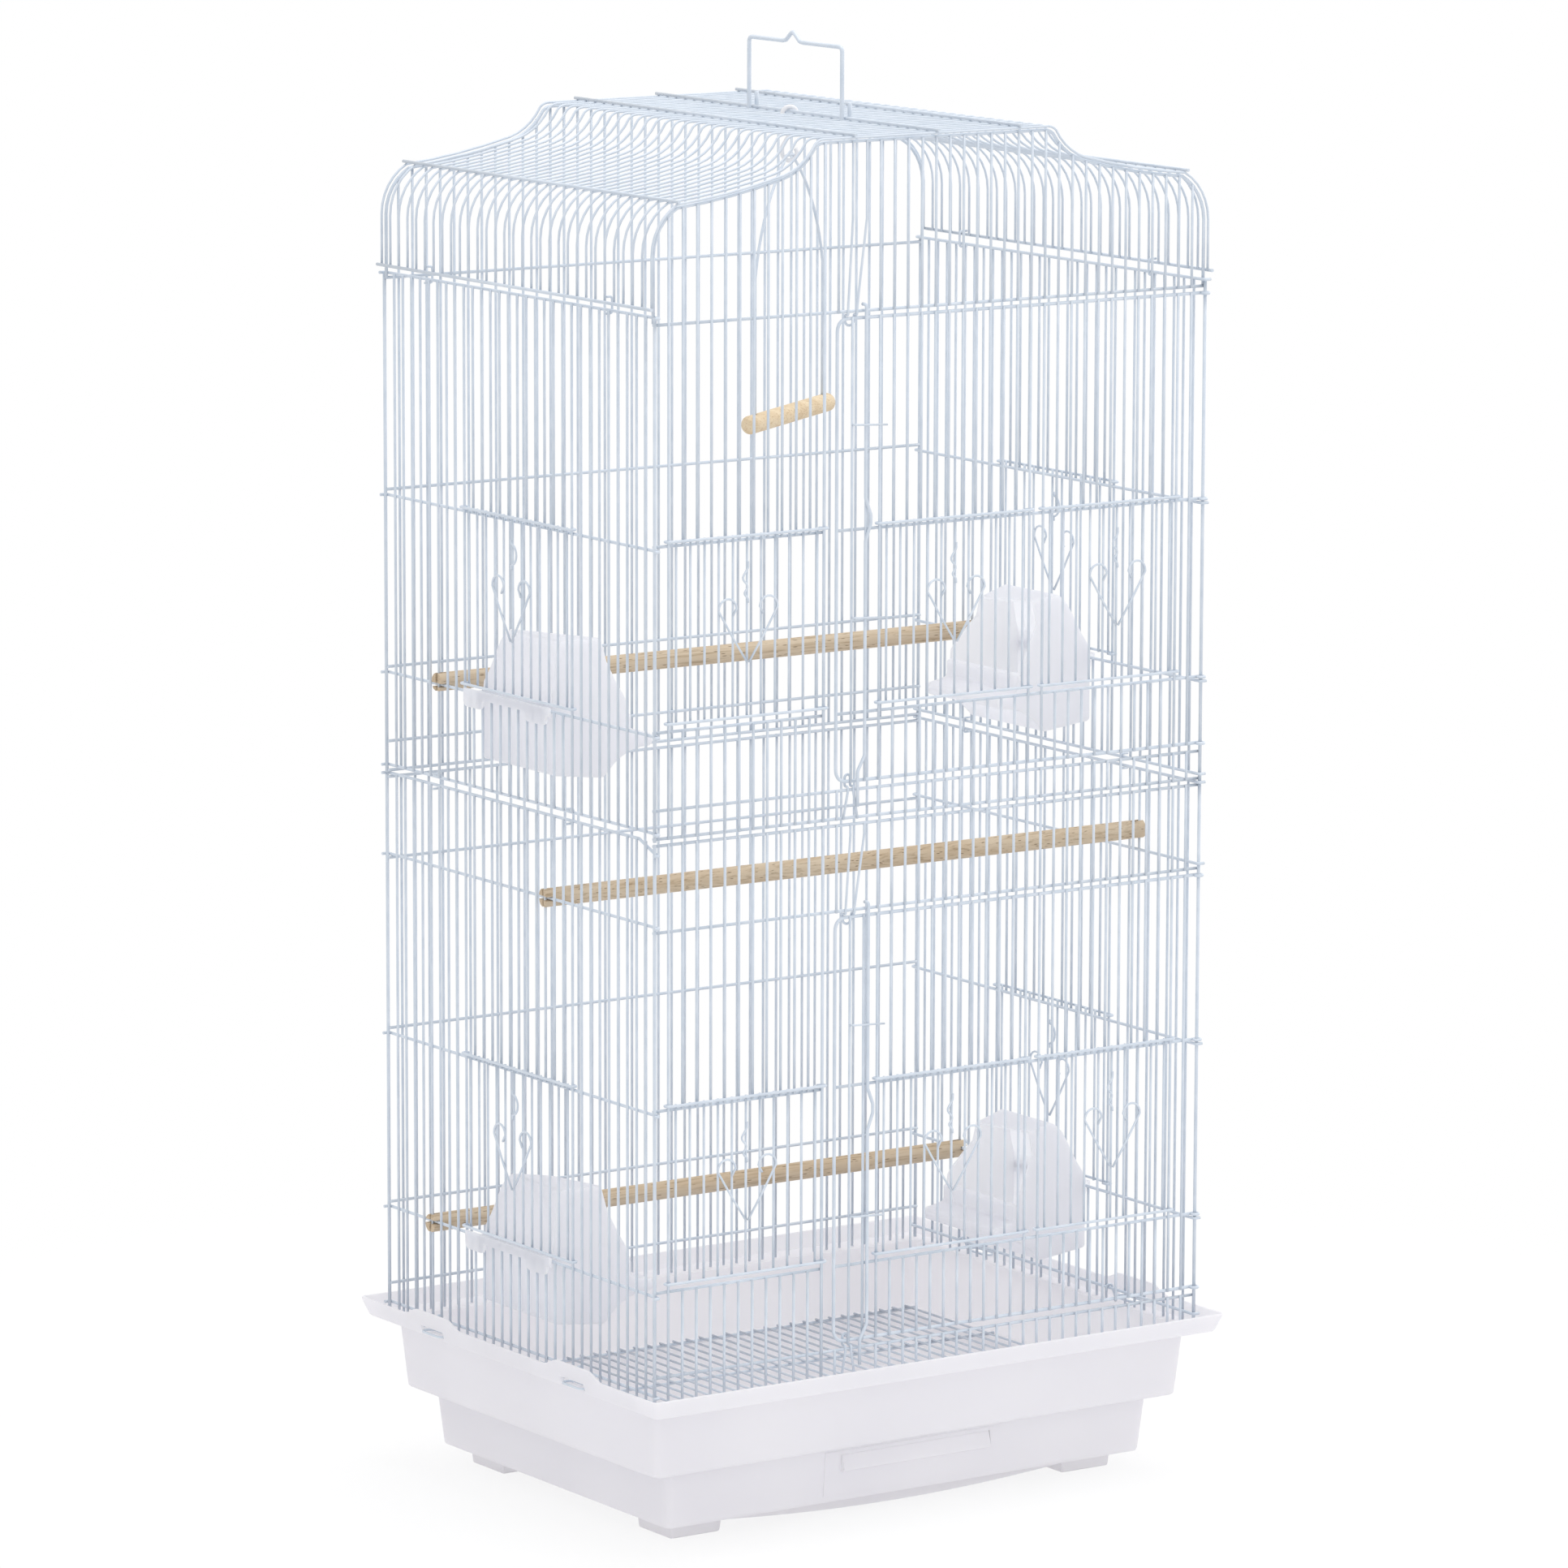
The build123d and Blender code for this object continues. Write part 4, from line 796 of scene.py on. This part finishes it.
# ---------------------------------------------------------------- feeders
CUP_BACK, CUP_WALL = 216.3, 1.6
RAIL_X = WELD_X + WIRE + AIR
HOOD_FOOT, HOOD_RISE = 4.0, 39.0  # where the hood's walls begin to lean, and over what height


def rail(bm, z):
    """The outer strip that hangs on the panel's bar, with two round-cornered tabs below it."""
    top, foot, low = z + BAR / 2 + AIR + CUP_WALL, z - 2.8, z - 9.2
    edge = [(64, top), (-42, top), (-42, foot), (-38, foot), (-38, low), (-12, low), (-12, foot),
            (40, foot), (40, low), (64, low)]
    part = bmesh.new()
    corners = [part.verts.new(Vector((RAIL_X, y, h)) * MM) for y, h in edge]
    part.faces.new(corners)
    bevel_corners(part, [v for v in corners if v.co.z < (low + 1) * MM], 4.5, 6)
    grown = bmesh.ops.extrude_face_region(part, geom=part.faces[:])["geom"]
    bmesh.ops.translate(part, vec=(CUP_WALL * MM, 0, 0), verts=corners_of(grown))
    bmesh.ops.recalc_face_normals(part, faces=part.faces)
    add(bm, part)
    part.free()


def feeder_cup(node, way, span, brow, sill):
    """A hooded feeder: a hollow tub with a ledge, under a hood open towards the cage, hung on the
    panel's bar by a rail with two round-cornered tabs."""
    back = [(CUP_BACK, -42), (CUP_BACK, 9), (214.8, 12.5), (212.8, 17), (210.8, 23), (208.8, 30),
            (206.4, 36.5), (203.4, 41), (199.5, 43.6)]
    mouth = [brow, (brow[0] - 0.8, brow[1] - 15), (brow[0] * 0.5 + 80.0, 15),
             (brow[0] * 0.25 + 119.0, 7), (158.9, 0), (158.4, -6)]
    tub = [(155.4, -7.2), (155.4, -16.6), (153.6, -18.4), (146, -20), (141, -20.8), (138.8, -22.2),
           (138, -25), (138.8, -28), (141, -29.4), (148, -29.8), (156, -31.5), (163, -35),
           (169, -39.5), (173.5, -44), (176.6, -47.2), (179, -47.6), (214, -43.4)]
    bm = bmesh.new()
    outline = [(x, span[0], sill + z) for x, z in back + mouth + tub]
    slab(bm, outline, (0, span[1] - span[0], 0))
    cut(bm, (0, 0, sill + HOOD_FOOT), (0, 0, 1))
    bmesh.ops.recalc_face_normals(bm, faces=bm.faces)
    # the open front between brow and lip
    gone = []
    for f in bm.faces:
        x, _, z = f.calc_center_median() / MM
        if abs(f.normal.y) < 0.5 and -6 < z - sill < brow[1] - 0.2 and x < brow[0] + 1:
            gone.append(f)
    bmesh.ops.delete(bm, geom=gone, context="FACES")
    # the hood's end walls lean in towards its top
    for v in bm.verts:
        share = max(0.0, (v.co.z / MM - sill - HOOD_FOOT) / HOOD_RISE)
        near = v.co.y < sum(span) / 2 * MM
        v.co.y += (16 * share if near else -8 * share) * MM
        if not near and v.co.x < 190 * MM:
            v.co.z -= 4.5 * share * MM
    bevel_edges(bm, turned_edges(bm, 35), 1.0, 3)
    bmesh.ops.solidify(bm, geom=bm.faces[:], thickness=CUP_WALL * MM)
    bmesh.ops.recalc_face_normals(bm, faces=bm.faces)
    over = sill + BAR / 2 + AIR
    rail(bm, sill)
    shelf = Matrix.Translation(Vector(((CUP_BACK + RAIL_X) / 2, 6.0, over + CUP_WALL / 2)) * MM)
    size = Matrix.Diagonal(((RAIL_X - CUP_BACK + 1) * MM, 84 * MM, (CUP_WALL - 0.2) * MM, 1))
    bmesh.ops.create_cube(bm, size=1, matrix=shelf @ size)
    if way < 0:
        bmesh.ops.mirror(bm, geom=bm.verts[:] + bm.edges[:] + bm.faces[:], axis="X", merge_dist=-1)
        gone = [v for v in bm.verts if v.co.x > 0]
        bmesh.ops.delete(bm, geom=gone, context="VERTS")
        bmesh.ops.recalc_face_normals(bm, faces=bm.faces)
    crisp(bm)
    moulded_piece(node + "_cup", bm, node, "cage", CUP_PLASTIC)


# ---------------------------------------------------------------- base tray
# half length, half width, height and corner radius of every ring, from the underside, over the rim,
# to the floor
TRAY_RINGS = (
    (191.3, 138.8, 12.0, 4.0), (193.0, 140.5, 12.5, 5.0), (193.7, 141.2, 14.0, 5.2),
    (193.85, 141.35, 15.6, 5.2),
    (196.9, 144.4, 49.8, 5.2), (197.1, 144.6, 51.2, 5.2), (198.4, 145.4, 52.0, 5.4),
    (209.8, 153.3, 52.0, 4.6), (211.9, 155.4, 52.3, 5.0), (213.0, 156.6, 53.6, 5.2),
    (213.2, 156.8, 55.6, 5.2),
    (216.6, 160.2, 95.0, 5.2), (216.9, 160.5, 97.6, 5.2), (218.2, 162.2, 98.9, 5.4),
    (225.6, 177.9, 99.0, 3.4), (227.6, 179.9, 99.3, 3.6), (228.7, 181.0, 100.6, 3.7),
    (232.2, 184.5, 110.4, 3.8), (232.4, 184.7, 111.5, 3.8), (231.9, 184.2, 112.0, 3.4),
    (231.2, 183.5, 112.0, 2.8), (230.6, 182.9, 111.5, 2.3),
    (227.2, 179.5, 102.7, 2.2), (226.6, 178.9, 101.4, 1.8), (225.3, 177.6, 101.0, 1.4),
    (217.0, 160.6, 101.0, 5.4), (215.4, 159.0, 100.5, 4.0), (215.0, 158.6, 99.0, 3.6),
    (211.1, 154.7, 56.0, 3.4), (210.4, 154.0, 54.4, 3.0), (208.9, 152.5, 54.0, 2.6),
    (197.0, 144.5, 54.0, 4.6), (195.4, 142.9, 53.5, 3.8), (195.0, 142.5, 52.0, 3.6),
    (191.8, 139.3, 16.4, 3.6), (191.0, 138.5, 14.4, 3.2), (189.0, 136.5, 14.0, 2.6),
)


def shell(rings, steps=8):
    """A closed moulded shell: a rounded rectangle drawn out from ring to ring."""
    bm = bmesh.new()
    x, y, z, r = rings[0]
    bmesh.ops.create_grid(bm, x_segments=1, y_segments=1, size=1,
                          matrix=Matrix.Diagonal((x * MM, y * MM, 1, 1)))
    bmesh.ops.translate(bm, vec=(0, 0, z * MM), verts=bm.verts)
    bevel_corners(bm, bm.verts[:], r, steps)
    edges = bm.edges[:]
    for wide, deep, high, round_by in rings[1:]:
        grown = bmesh.ops.extrude_edge_only(bm, edges=edges)["geom"]
        verts = corners_of(grown)
        edges = [e for e in grown if isinstance(e, bmesh.types.BMEdge)
                 and all(v in verts for v in e.verts)]
        for v in verts:
            side = Vector((1 if v.co.x > 0 else -1, 1 if v.co.y > 0 else -1))
            arm = (v.co.xy - side * Vector((x - r, y - r)) * MM) * round_by / r
            v.co = (side * Vector((wide - round_by, deep - round_by)) * MM + arm).to_3d()
            v.co.z = high * MM
        x, y, r = wide, deep, round_by
    bmesh.ops.edgeloop_fill(bm, edges=edges)
    bmesh.ops.recalc_face_normals(bm, faces=bm.faces)
    return bm


def cut(bm, point, normal):
    """Splits every face that a plane crosses."""
    bmesh.ops.bisect_plane(bm, geom=bm.verts[:] + bm.edges[:] + bm.faces[:], dist=1e-6,
                           plane_co=Vector(point) * MM, plane_no=normal)


def inside(face, low, high):
    centre = face.calc_center_median() / MM
    return all(a < c < b for a, c, b in zip(low, centre, high))


HUMP_HALF, HUMP_SLOPE, HUMP_BACK, HUMP_RISE = 36.0, 18.0, 13.0, 5.4
HUMP_CUTS = (-49, -46, -43, -40, -37, -34, -31, 5, 8, 11, 14, 17, 20, 23)
SLOT_HALF, SLOT_LOW, SLOT_TOP = 14, 101.7, 106.6
BAND = (225.6, 233.0)  # the rim's two faces lie between these


def hump(y):
    """How far the rim rises at y: a soft-shouldered rise over each clip's slot."""
    best = 0.0
    for clip_y in CLIP_Y:
        share = (HUMP_HALF - abs(y - clip_y + HUMP_BACK)) / HUMP_SLOPE
        share = min(max(share, 0.0), 1.0)
        best = max(best, HUMP_RISE * share * share * (3 - 2 * share))
    return best


def raised(bm, x0, x1, z0, z1):
    """Lifts a rectangle of the tray's front wall off it; returns what was lifted, not moved yet."""
    for x in (x0, x1):
        cut(bm, (x, 0, 0), (1, 0, 0))
    for z in (z0, z1):
        cut(bm, (0, 0, z), (0, 0, 1))
    shown = [f for f in bm.faces if inside(f, (x0, -146, z0), (x1, -141.3, z1)) and f.normal.y < -0.9]
    kept = bmesh.ops.extrude_face_region(bm, geom=shown)["geom"]
    bmesh.ops.delete(bm, geom=shown, context="FACES")
    return kept


def base_tray():
    """The moulded tray: stepped bowl with a guttered rim, humps, clip slots, feet and a grip."""
    bm = shell(TRAY_RINGS)
    for clip_y in CLIP_Y:
        for edge in HUMP_CUTS:
            cut(bm, (0, clip_y + edge, 0), (0, 1, 0))
        for edge in (-SLOT_HALF, SLOT_HALF):
            cut(bm, (0, clip_y + RING_ON + edge, 0), (0, 1, 0))
    cut(bm, (0, 0, SLOT_TOP), (0, 0, 1))
    cut(bm, (0, 0, SLOT_LOW), (0, 0, 1))
    # slots through the band, closed between its two faces
    for way in (-1, 1):
        for y in CLIP_Y:
            low, high = sorted((way * BAND[0], way * BAND[1]))
            near, far = y + RING_ON - SLOT_HALF, y + RING_ON + SLOT_HALF
            gone = [f for f in bm.faces if inside(f, (low, near, SLOT_LOW), (high, far, SLOT_TOP))]
            bmesh.ops.delete(bm, geom=gone, context="FACES")
            bmesh.ops.bridge_loops(bm, edges=[e for e in bm.edges if e.is_boundary])
    for v in bm.verts:
        if v.co.z > 111.0 * MM and abs(v.co.x) > 226.0 * MM:
            v.co.z += hump(v.co.y / MM) * MM
    # the front wall's raised panel
    kept = raised(bm, -70.0, 68.0, 17.0, 47.5)
    bmesh.ops.translate(bm, vec=(0, -0.7 * MM, 0), verts=corners_of(kept))
    bmesh.ops.recalc_face_normals(bm, faces=bm.faces)

    # the grip across it, flush at the top and standing out below
    grip_top = 45.0
    kept = raised(bm, -57.0, 64.0, 34.0, grip_top)
    for v in corners_of(kept):
        v.co.y -= (0.15 + 0.38 * (grip_top - v.co.z / MM)) * MM
    bmesh.ops.recalc_face_normals(bm, faces=bm.faces)
    rim = {e for g in kept if isinstance(g, bmesh.types.BMFace) for e in g.edges
           if e.calc_face_angle(0) > 0.5}
    bmesh.ops.bevel(bm, geom=list(rim), offset=0.7 * MM, offset_type="OFFSET", affect="EDGES",
                    segments=3, profile=0.5, material=-1)

    # feet, and the bowed rib behind the front pair
    foot_rings = [(18.6, 18.6, 0.0, 1.0), (19.4, 19.4, 0.4, 1.5), (19.8, 19.8, 1.3, 1.7),
                  (20.8, 20.8, 12.6, 1.8)]
    for x in (-160, 160):
        for y in (-104, 104):
            foot = shell(foot_rings, 4)
            add(bm, foot, Matrix.Translation((x * MM, y * MM, 0)))
            foot.free()
    rib = bmesh.new()
    line = [(-138, 13.0), (-138, 9.0)] + arc((-138, 9.0), (138, 9.0), 10, 12) + [(138, 13.0)]
    slab(rib, [(x, -127, z) for x, z in line], (0, -2.0, 0))
    bmesh.ops.recalc_face_normals(rib, faces=rib.faces)
    add(bm, rib)
    rib.free()

    crisp(bm)
    moulded_piece("base_tray", bm, "base_pan", "cage", TRAY_PLASTIC)


# ---------------------------------------------------------------- swing and handle
SWING_TURN = radians(33.7)
HOOK_AT = PITCH / 2
SWING_TOP = BAR_AXIS - 29.6


def swing_frame():
    bm = bmesh.new()
    place = Matrix.Translation((0, HOOK_AT * MM, 0)) @ Matrix.Rotation(SWING_TURN, 4, "Z")
    half = [(7.0, SWING_TOP), (8.5, SWING_TOP - 3)]
    half += arc((8.5, SWING_TOP - 3), (60.0, 822), -42, 9)
    half.append((60.0, 719.0))
    line = [(-x, 0, z) for x, z in half[::-1]] + [(x, 0, z) for x, z in half]
    one = bent(eased(line, 3.0, 3), 2.0)
    add(bm, one, place)
    one.free()
    wires("swing_wire", bm, "swing_frame", "swing")


def swing_hook():
    """A moulded S-hook, round in section."""
    radius, gauge = 5.0, 2.9
    axis, low = BAR_AXIS + ROOF_BAR / 2 + gauge / 2 + AIR - radius, SWING_TOP + radius - 3.75
    line = []
    for i in range(11):
        a = radians(200 - 20 * i)
        line.append((radius * cos(a), 0, axis + radius * sin(a)))
    line.append((radius, 0, axis - 4))
    line.append((-radius, 0, low + 4))
    for i in range(12):
        a = radians(180 + 20 * i)
        line.append((radius * cos(a), 0, low + radius * sin(a)))
    bm = bmesh.new()
    one = bent(line, gauge, 12)
    turned = Matrix.Rotation(-(pi / 2 - SWING_TURN) / 2, 4, "Z")
    add(bm, one, Matrix.Translation((0, HOOK_AT * MM, 0)) @ turned)
    one.free()
    piece("swing_s_hook", bm, "swing_hook", "swing_hook_body", HOOK_NYLON)


def carry_handle():
    """The folding handle: a round wire with a small peak and two hooked feet."""
    bm = bmesh.new()
    gauge = 2.9
    y0, y1 = -5.5 * PITCH, 4.5 * PITCH
    radius = ROOF_BAR / 2 + AIR + 1.5 + 0.2
    top = 975.5
    peak = (y0 + y1) / 2 + 3

    def foot(y):
        ends = [(radius, y, BAR_AXIS + 10), (radius, y, BAR_AXIS + 4)]
        for i in range(10):
            a = radians(-20 * i)
            ends.append((radius * cos(a), y, BAR_AXIS + radius * sin(a)))
        return ends

    line = [(y0, BAR_AXIS + 2), (y0, top), (peak - 12, top), (peak - 8, top + 0.6), (peak, top + 7.0),
            (peak + 8, top + 0.6), (peak + 12, top), (y1, top), (y1, BAR_AXIS + 2)]
    rise = eased([(-radius, y, z) for y, z in line], 3.6)
    wire(bm, foot(y0) + rise + foot(y1)[::-1], gauge, 12)
    wires("carry_handle_wire", bm, "carry_handle", "handle")


# ---------------------------------------------------------------- floor grate
def floor_grate():
    bm = bmesh.new()
    ledge = 54.0 + AIR
    over = ledge + PLAIN_BAR + WIRE / 2
    for i in range(-18, 19):
        x = i * PITCH
        straight(bm, (x, -146, over), (x, 146, over), THIN, 8)
    for y in (-145, -50, 50, 145):
        straight(bm, (-207, y, ledge + PLAIN_BAR / 2), (207, y, ledge + PLAIN_BAR / 2), PLAIN_BAR)
    wires("floor_grate_wires", bm, "floor_grate", "cage")


lower_front()
lower_back()
upper_front()
upper_back()
for name, panel in (("left", LEFT), ("right", RIGHT)):
    side_panel("lower_" + name + "_panel", panel, LOW_LEVELS, LOW_SIDE_SILL, PAN_FLOOR + AIR, LOW_SIDE_TOP)
    side_panel("upper_" + name + "_panel", panel, UP_LEVELS, UP_SIDE_SILL, UP_LEVELS[0], UP_SIDE_TOP)
roof_skin()
hooks()
large_door("upper", UP_SECOND, UP_SILL, UP_TOP)
large_door("lower", LOW_FIRST, LOW_SILL, LOW_HEAD)
latch_rod("upper", -56.6, UP_SECOND, 511.0, 677.0, UP_TOP)
latch_rod("lower", -52.9, LOW_FIRST, 128.5, 284.0, LOW_HEAD)
for tier, sill in (("lower", LOW_SILL), ("upper", UP_SILL)):
    for name, span in (("_left", LEFT_HATCH), ("_mid", MID_HATCH), ("_right", RIGHT_HATCH)):
        hatch(tier + name + "_hatch", FRONT, span, sill, front_x)
    for name, panel in (("_left", LEFT), ("_right", RIGHT)):
        hatch(tier + name + "_side_hatch", panel, SIDE_HATCH, sill - LAP, side_y)
for side, way in (("left", -1), ("right", 1)):
    clip(side + "_back_clip", way, CLIP_Y[0])
    clip(side + "_front_clip", way, CLIP_Y[1])
floor_grate()
swing_frame()
swing_hook()
carry_handle()
base_tray()
for tier, sill in (("lower", LOW_SIDE_SILL), ("upper", UP_SIDE_SILL)):
    feeder_cup(tier + "_left_feeder", -1, (-39, 49), (169.5, 43.0), sill)
    feeder_cup(tier + "_right_feeder", 1, (-45, 40), (178.0, 40.6), sill)
for node in ("upper_perch", "middle_perch", "lower_perch"):
    softened(node, node + "_dowel", "cage", DOWEL, 0.4)
softened("swing_perch", "swing_perch_dowel", "swing", SWING_DOWEL, 0.6)


# ---------------------------------------------------------------- studio
def seen_rays(tree):
    """1 for what the camera sees, straight, mirrored or through clear plastic; 0 for light on things."""
    path = put(tree, "ShaderNodeLightPath").outputs
    most = path["Is Camera Ray"]
    for name in ("Is Glossy Ray", "Is Transmission Ray"):
        most = put(tree, "ShaderNodeMath", {"operation": "MAXIMUM"}, i0=most, i1=path[name]).outputs[0]
    return most


def studio():
    """A pale floor that fades into a white surround, an even sky and large soft lamps."""
    made, tree, shader, where = material("studio_floor")
    dials(shader, Base_Color=linear("#FBFBFC"), Roughness=0.95)
    # seen by the camera the floor is mostly white by itself, and the rest of it carries the shadow
    glow = put(tree, "ShaderNodeEmission", Color=linear("#FFFFFF"), Strength=1.0)
    lift = put(tree, "ShaderNodeMapRange", Value=seen_rays(tree), To_Min=0.0, To_Max=0.8).outputs["Result"]
    pale = put(tree, "ShaderNodeMixShader", Fac=lift, i1=shader.outputs[0], i2=glow.outputs[0])
    away = put(tree, "ShaderNodeVectorMath", {"operation": "LENGTH"}, i0=where).outputs["Value"]
    fade = put(tree, "ShaderNodeMapRange", {"interpolation_type": "SMOOTHSTEP"}, Value=away, From_Min=0.3,
               From_Max=0.95).outputs["Result"]
    clear = put(tree, "ShaderNodeBsdfTransparent")
    both = put(tree, "ShaderNodeMixShader", Fac=fade, i1=pale.outputs[0], i2=clear.outputs[0])
    tree.links.new(both.outputs[0], tree.nodes["Material Output"].inputs["Surface"])
    plate = bmesh.new()
    bmesh.ops.create_circle(plate, cap_ends=True, segments=64, radius=1.0)
    mesh = bpy.data.meshes.new("floor")
    plate.to_mesh(mesh)
    plate.free()
    mesh.materials.append(made)
    floor = bpy.data.objects.new("floor", mesh)
    bpy.context.scene.collection.objects.link(floor)

    world = bpy.data.worlds.new("studio")
    bpy.context.scene.world = world
    world.use_nodes = True
    tree = world.node_tree
    tree.nodes.clear()
    strength = put(tree, "ShaderNodeMapRange", Value=seen_rays(tree), To_Min=0.93, To_Max=1.0)
    back = put(tree, "ShaderNodeBackground", Color=linear("#FFFFFF"), Strength=strength.outputs["Result"])
    out = put(tree, "ShaderNodeOutputWorld")
    tree.links.new(back.outputs[0], out.inputs["Surface"])

    for name, place, power in (
        ("front", (0.4, -4.2, 1.6), 12.0),
        ("top", (0.6, -0.2, 4.2), 58.0),
        ("side", (4.2, 0.6, 1.4), 22.0),
    ):
        lamp = bpy.data.lights.new(name, "AREA")
        lamp.size = 2.6
        lamp.energy = power
        held = bpy.data.objects.new(name, lamp)
        held.location = place
        held.rotation_euler = (Vector((0, 0, 0.5)) - Vector(place)).to_track_quat("-Z", "Y").to_euler()
        bpy.context.scene.collection.objects.link(held)


def camera():
    """Stands 5.6 m away, left of the front and a little above the middle, with a long lens."""
    turn, tilt, roll = radians(-34.195), radians(9.590), radians(0.165)
    back = Vector((sin(turn) * cos(tilt), -cos(turn) * cos(tilt), sin(tilt)))
    right = Vector((cos(turn), sin(turn), 0))
    up = back.cross(right)
    side = right * cos(roll) + up * sin(roll)
    top = up * cos(roll) - right * sin(roll)
    unit = 0.440
    spot = (side * -0.01229 + top * 0.16995 + back * 12.762) * unit + Vector((0, 0, 0.3973))
    data = bpy.data.cameras.new("camera")
    data.sensor_width = 36.0
    data.lens = 190.06
    data.clip_end = 50
    held = bpy.data.objects.new("camera", data)
    held.matrix_world = Matrix.Translation(spot) @ Matrix((side, top, back)).transposed().to_4x4()
    bpy.context.scene.collection.objects.link(held)
    bpy.context.scene.camera = held


studio()
camera()
bpy.context.scene.view_settings.view_transform = "Standard"
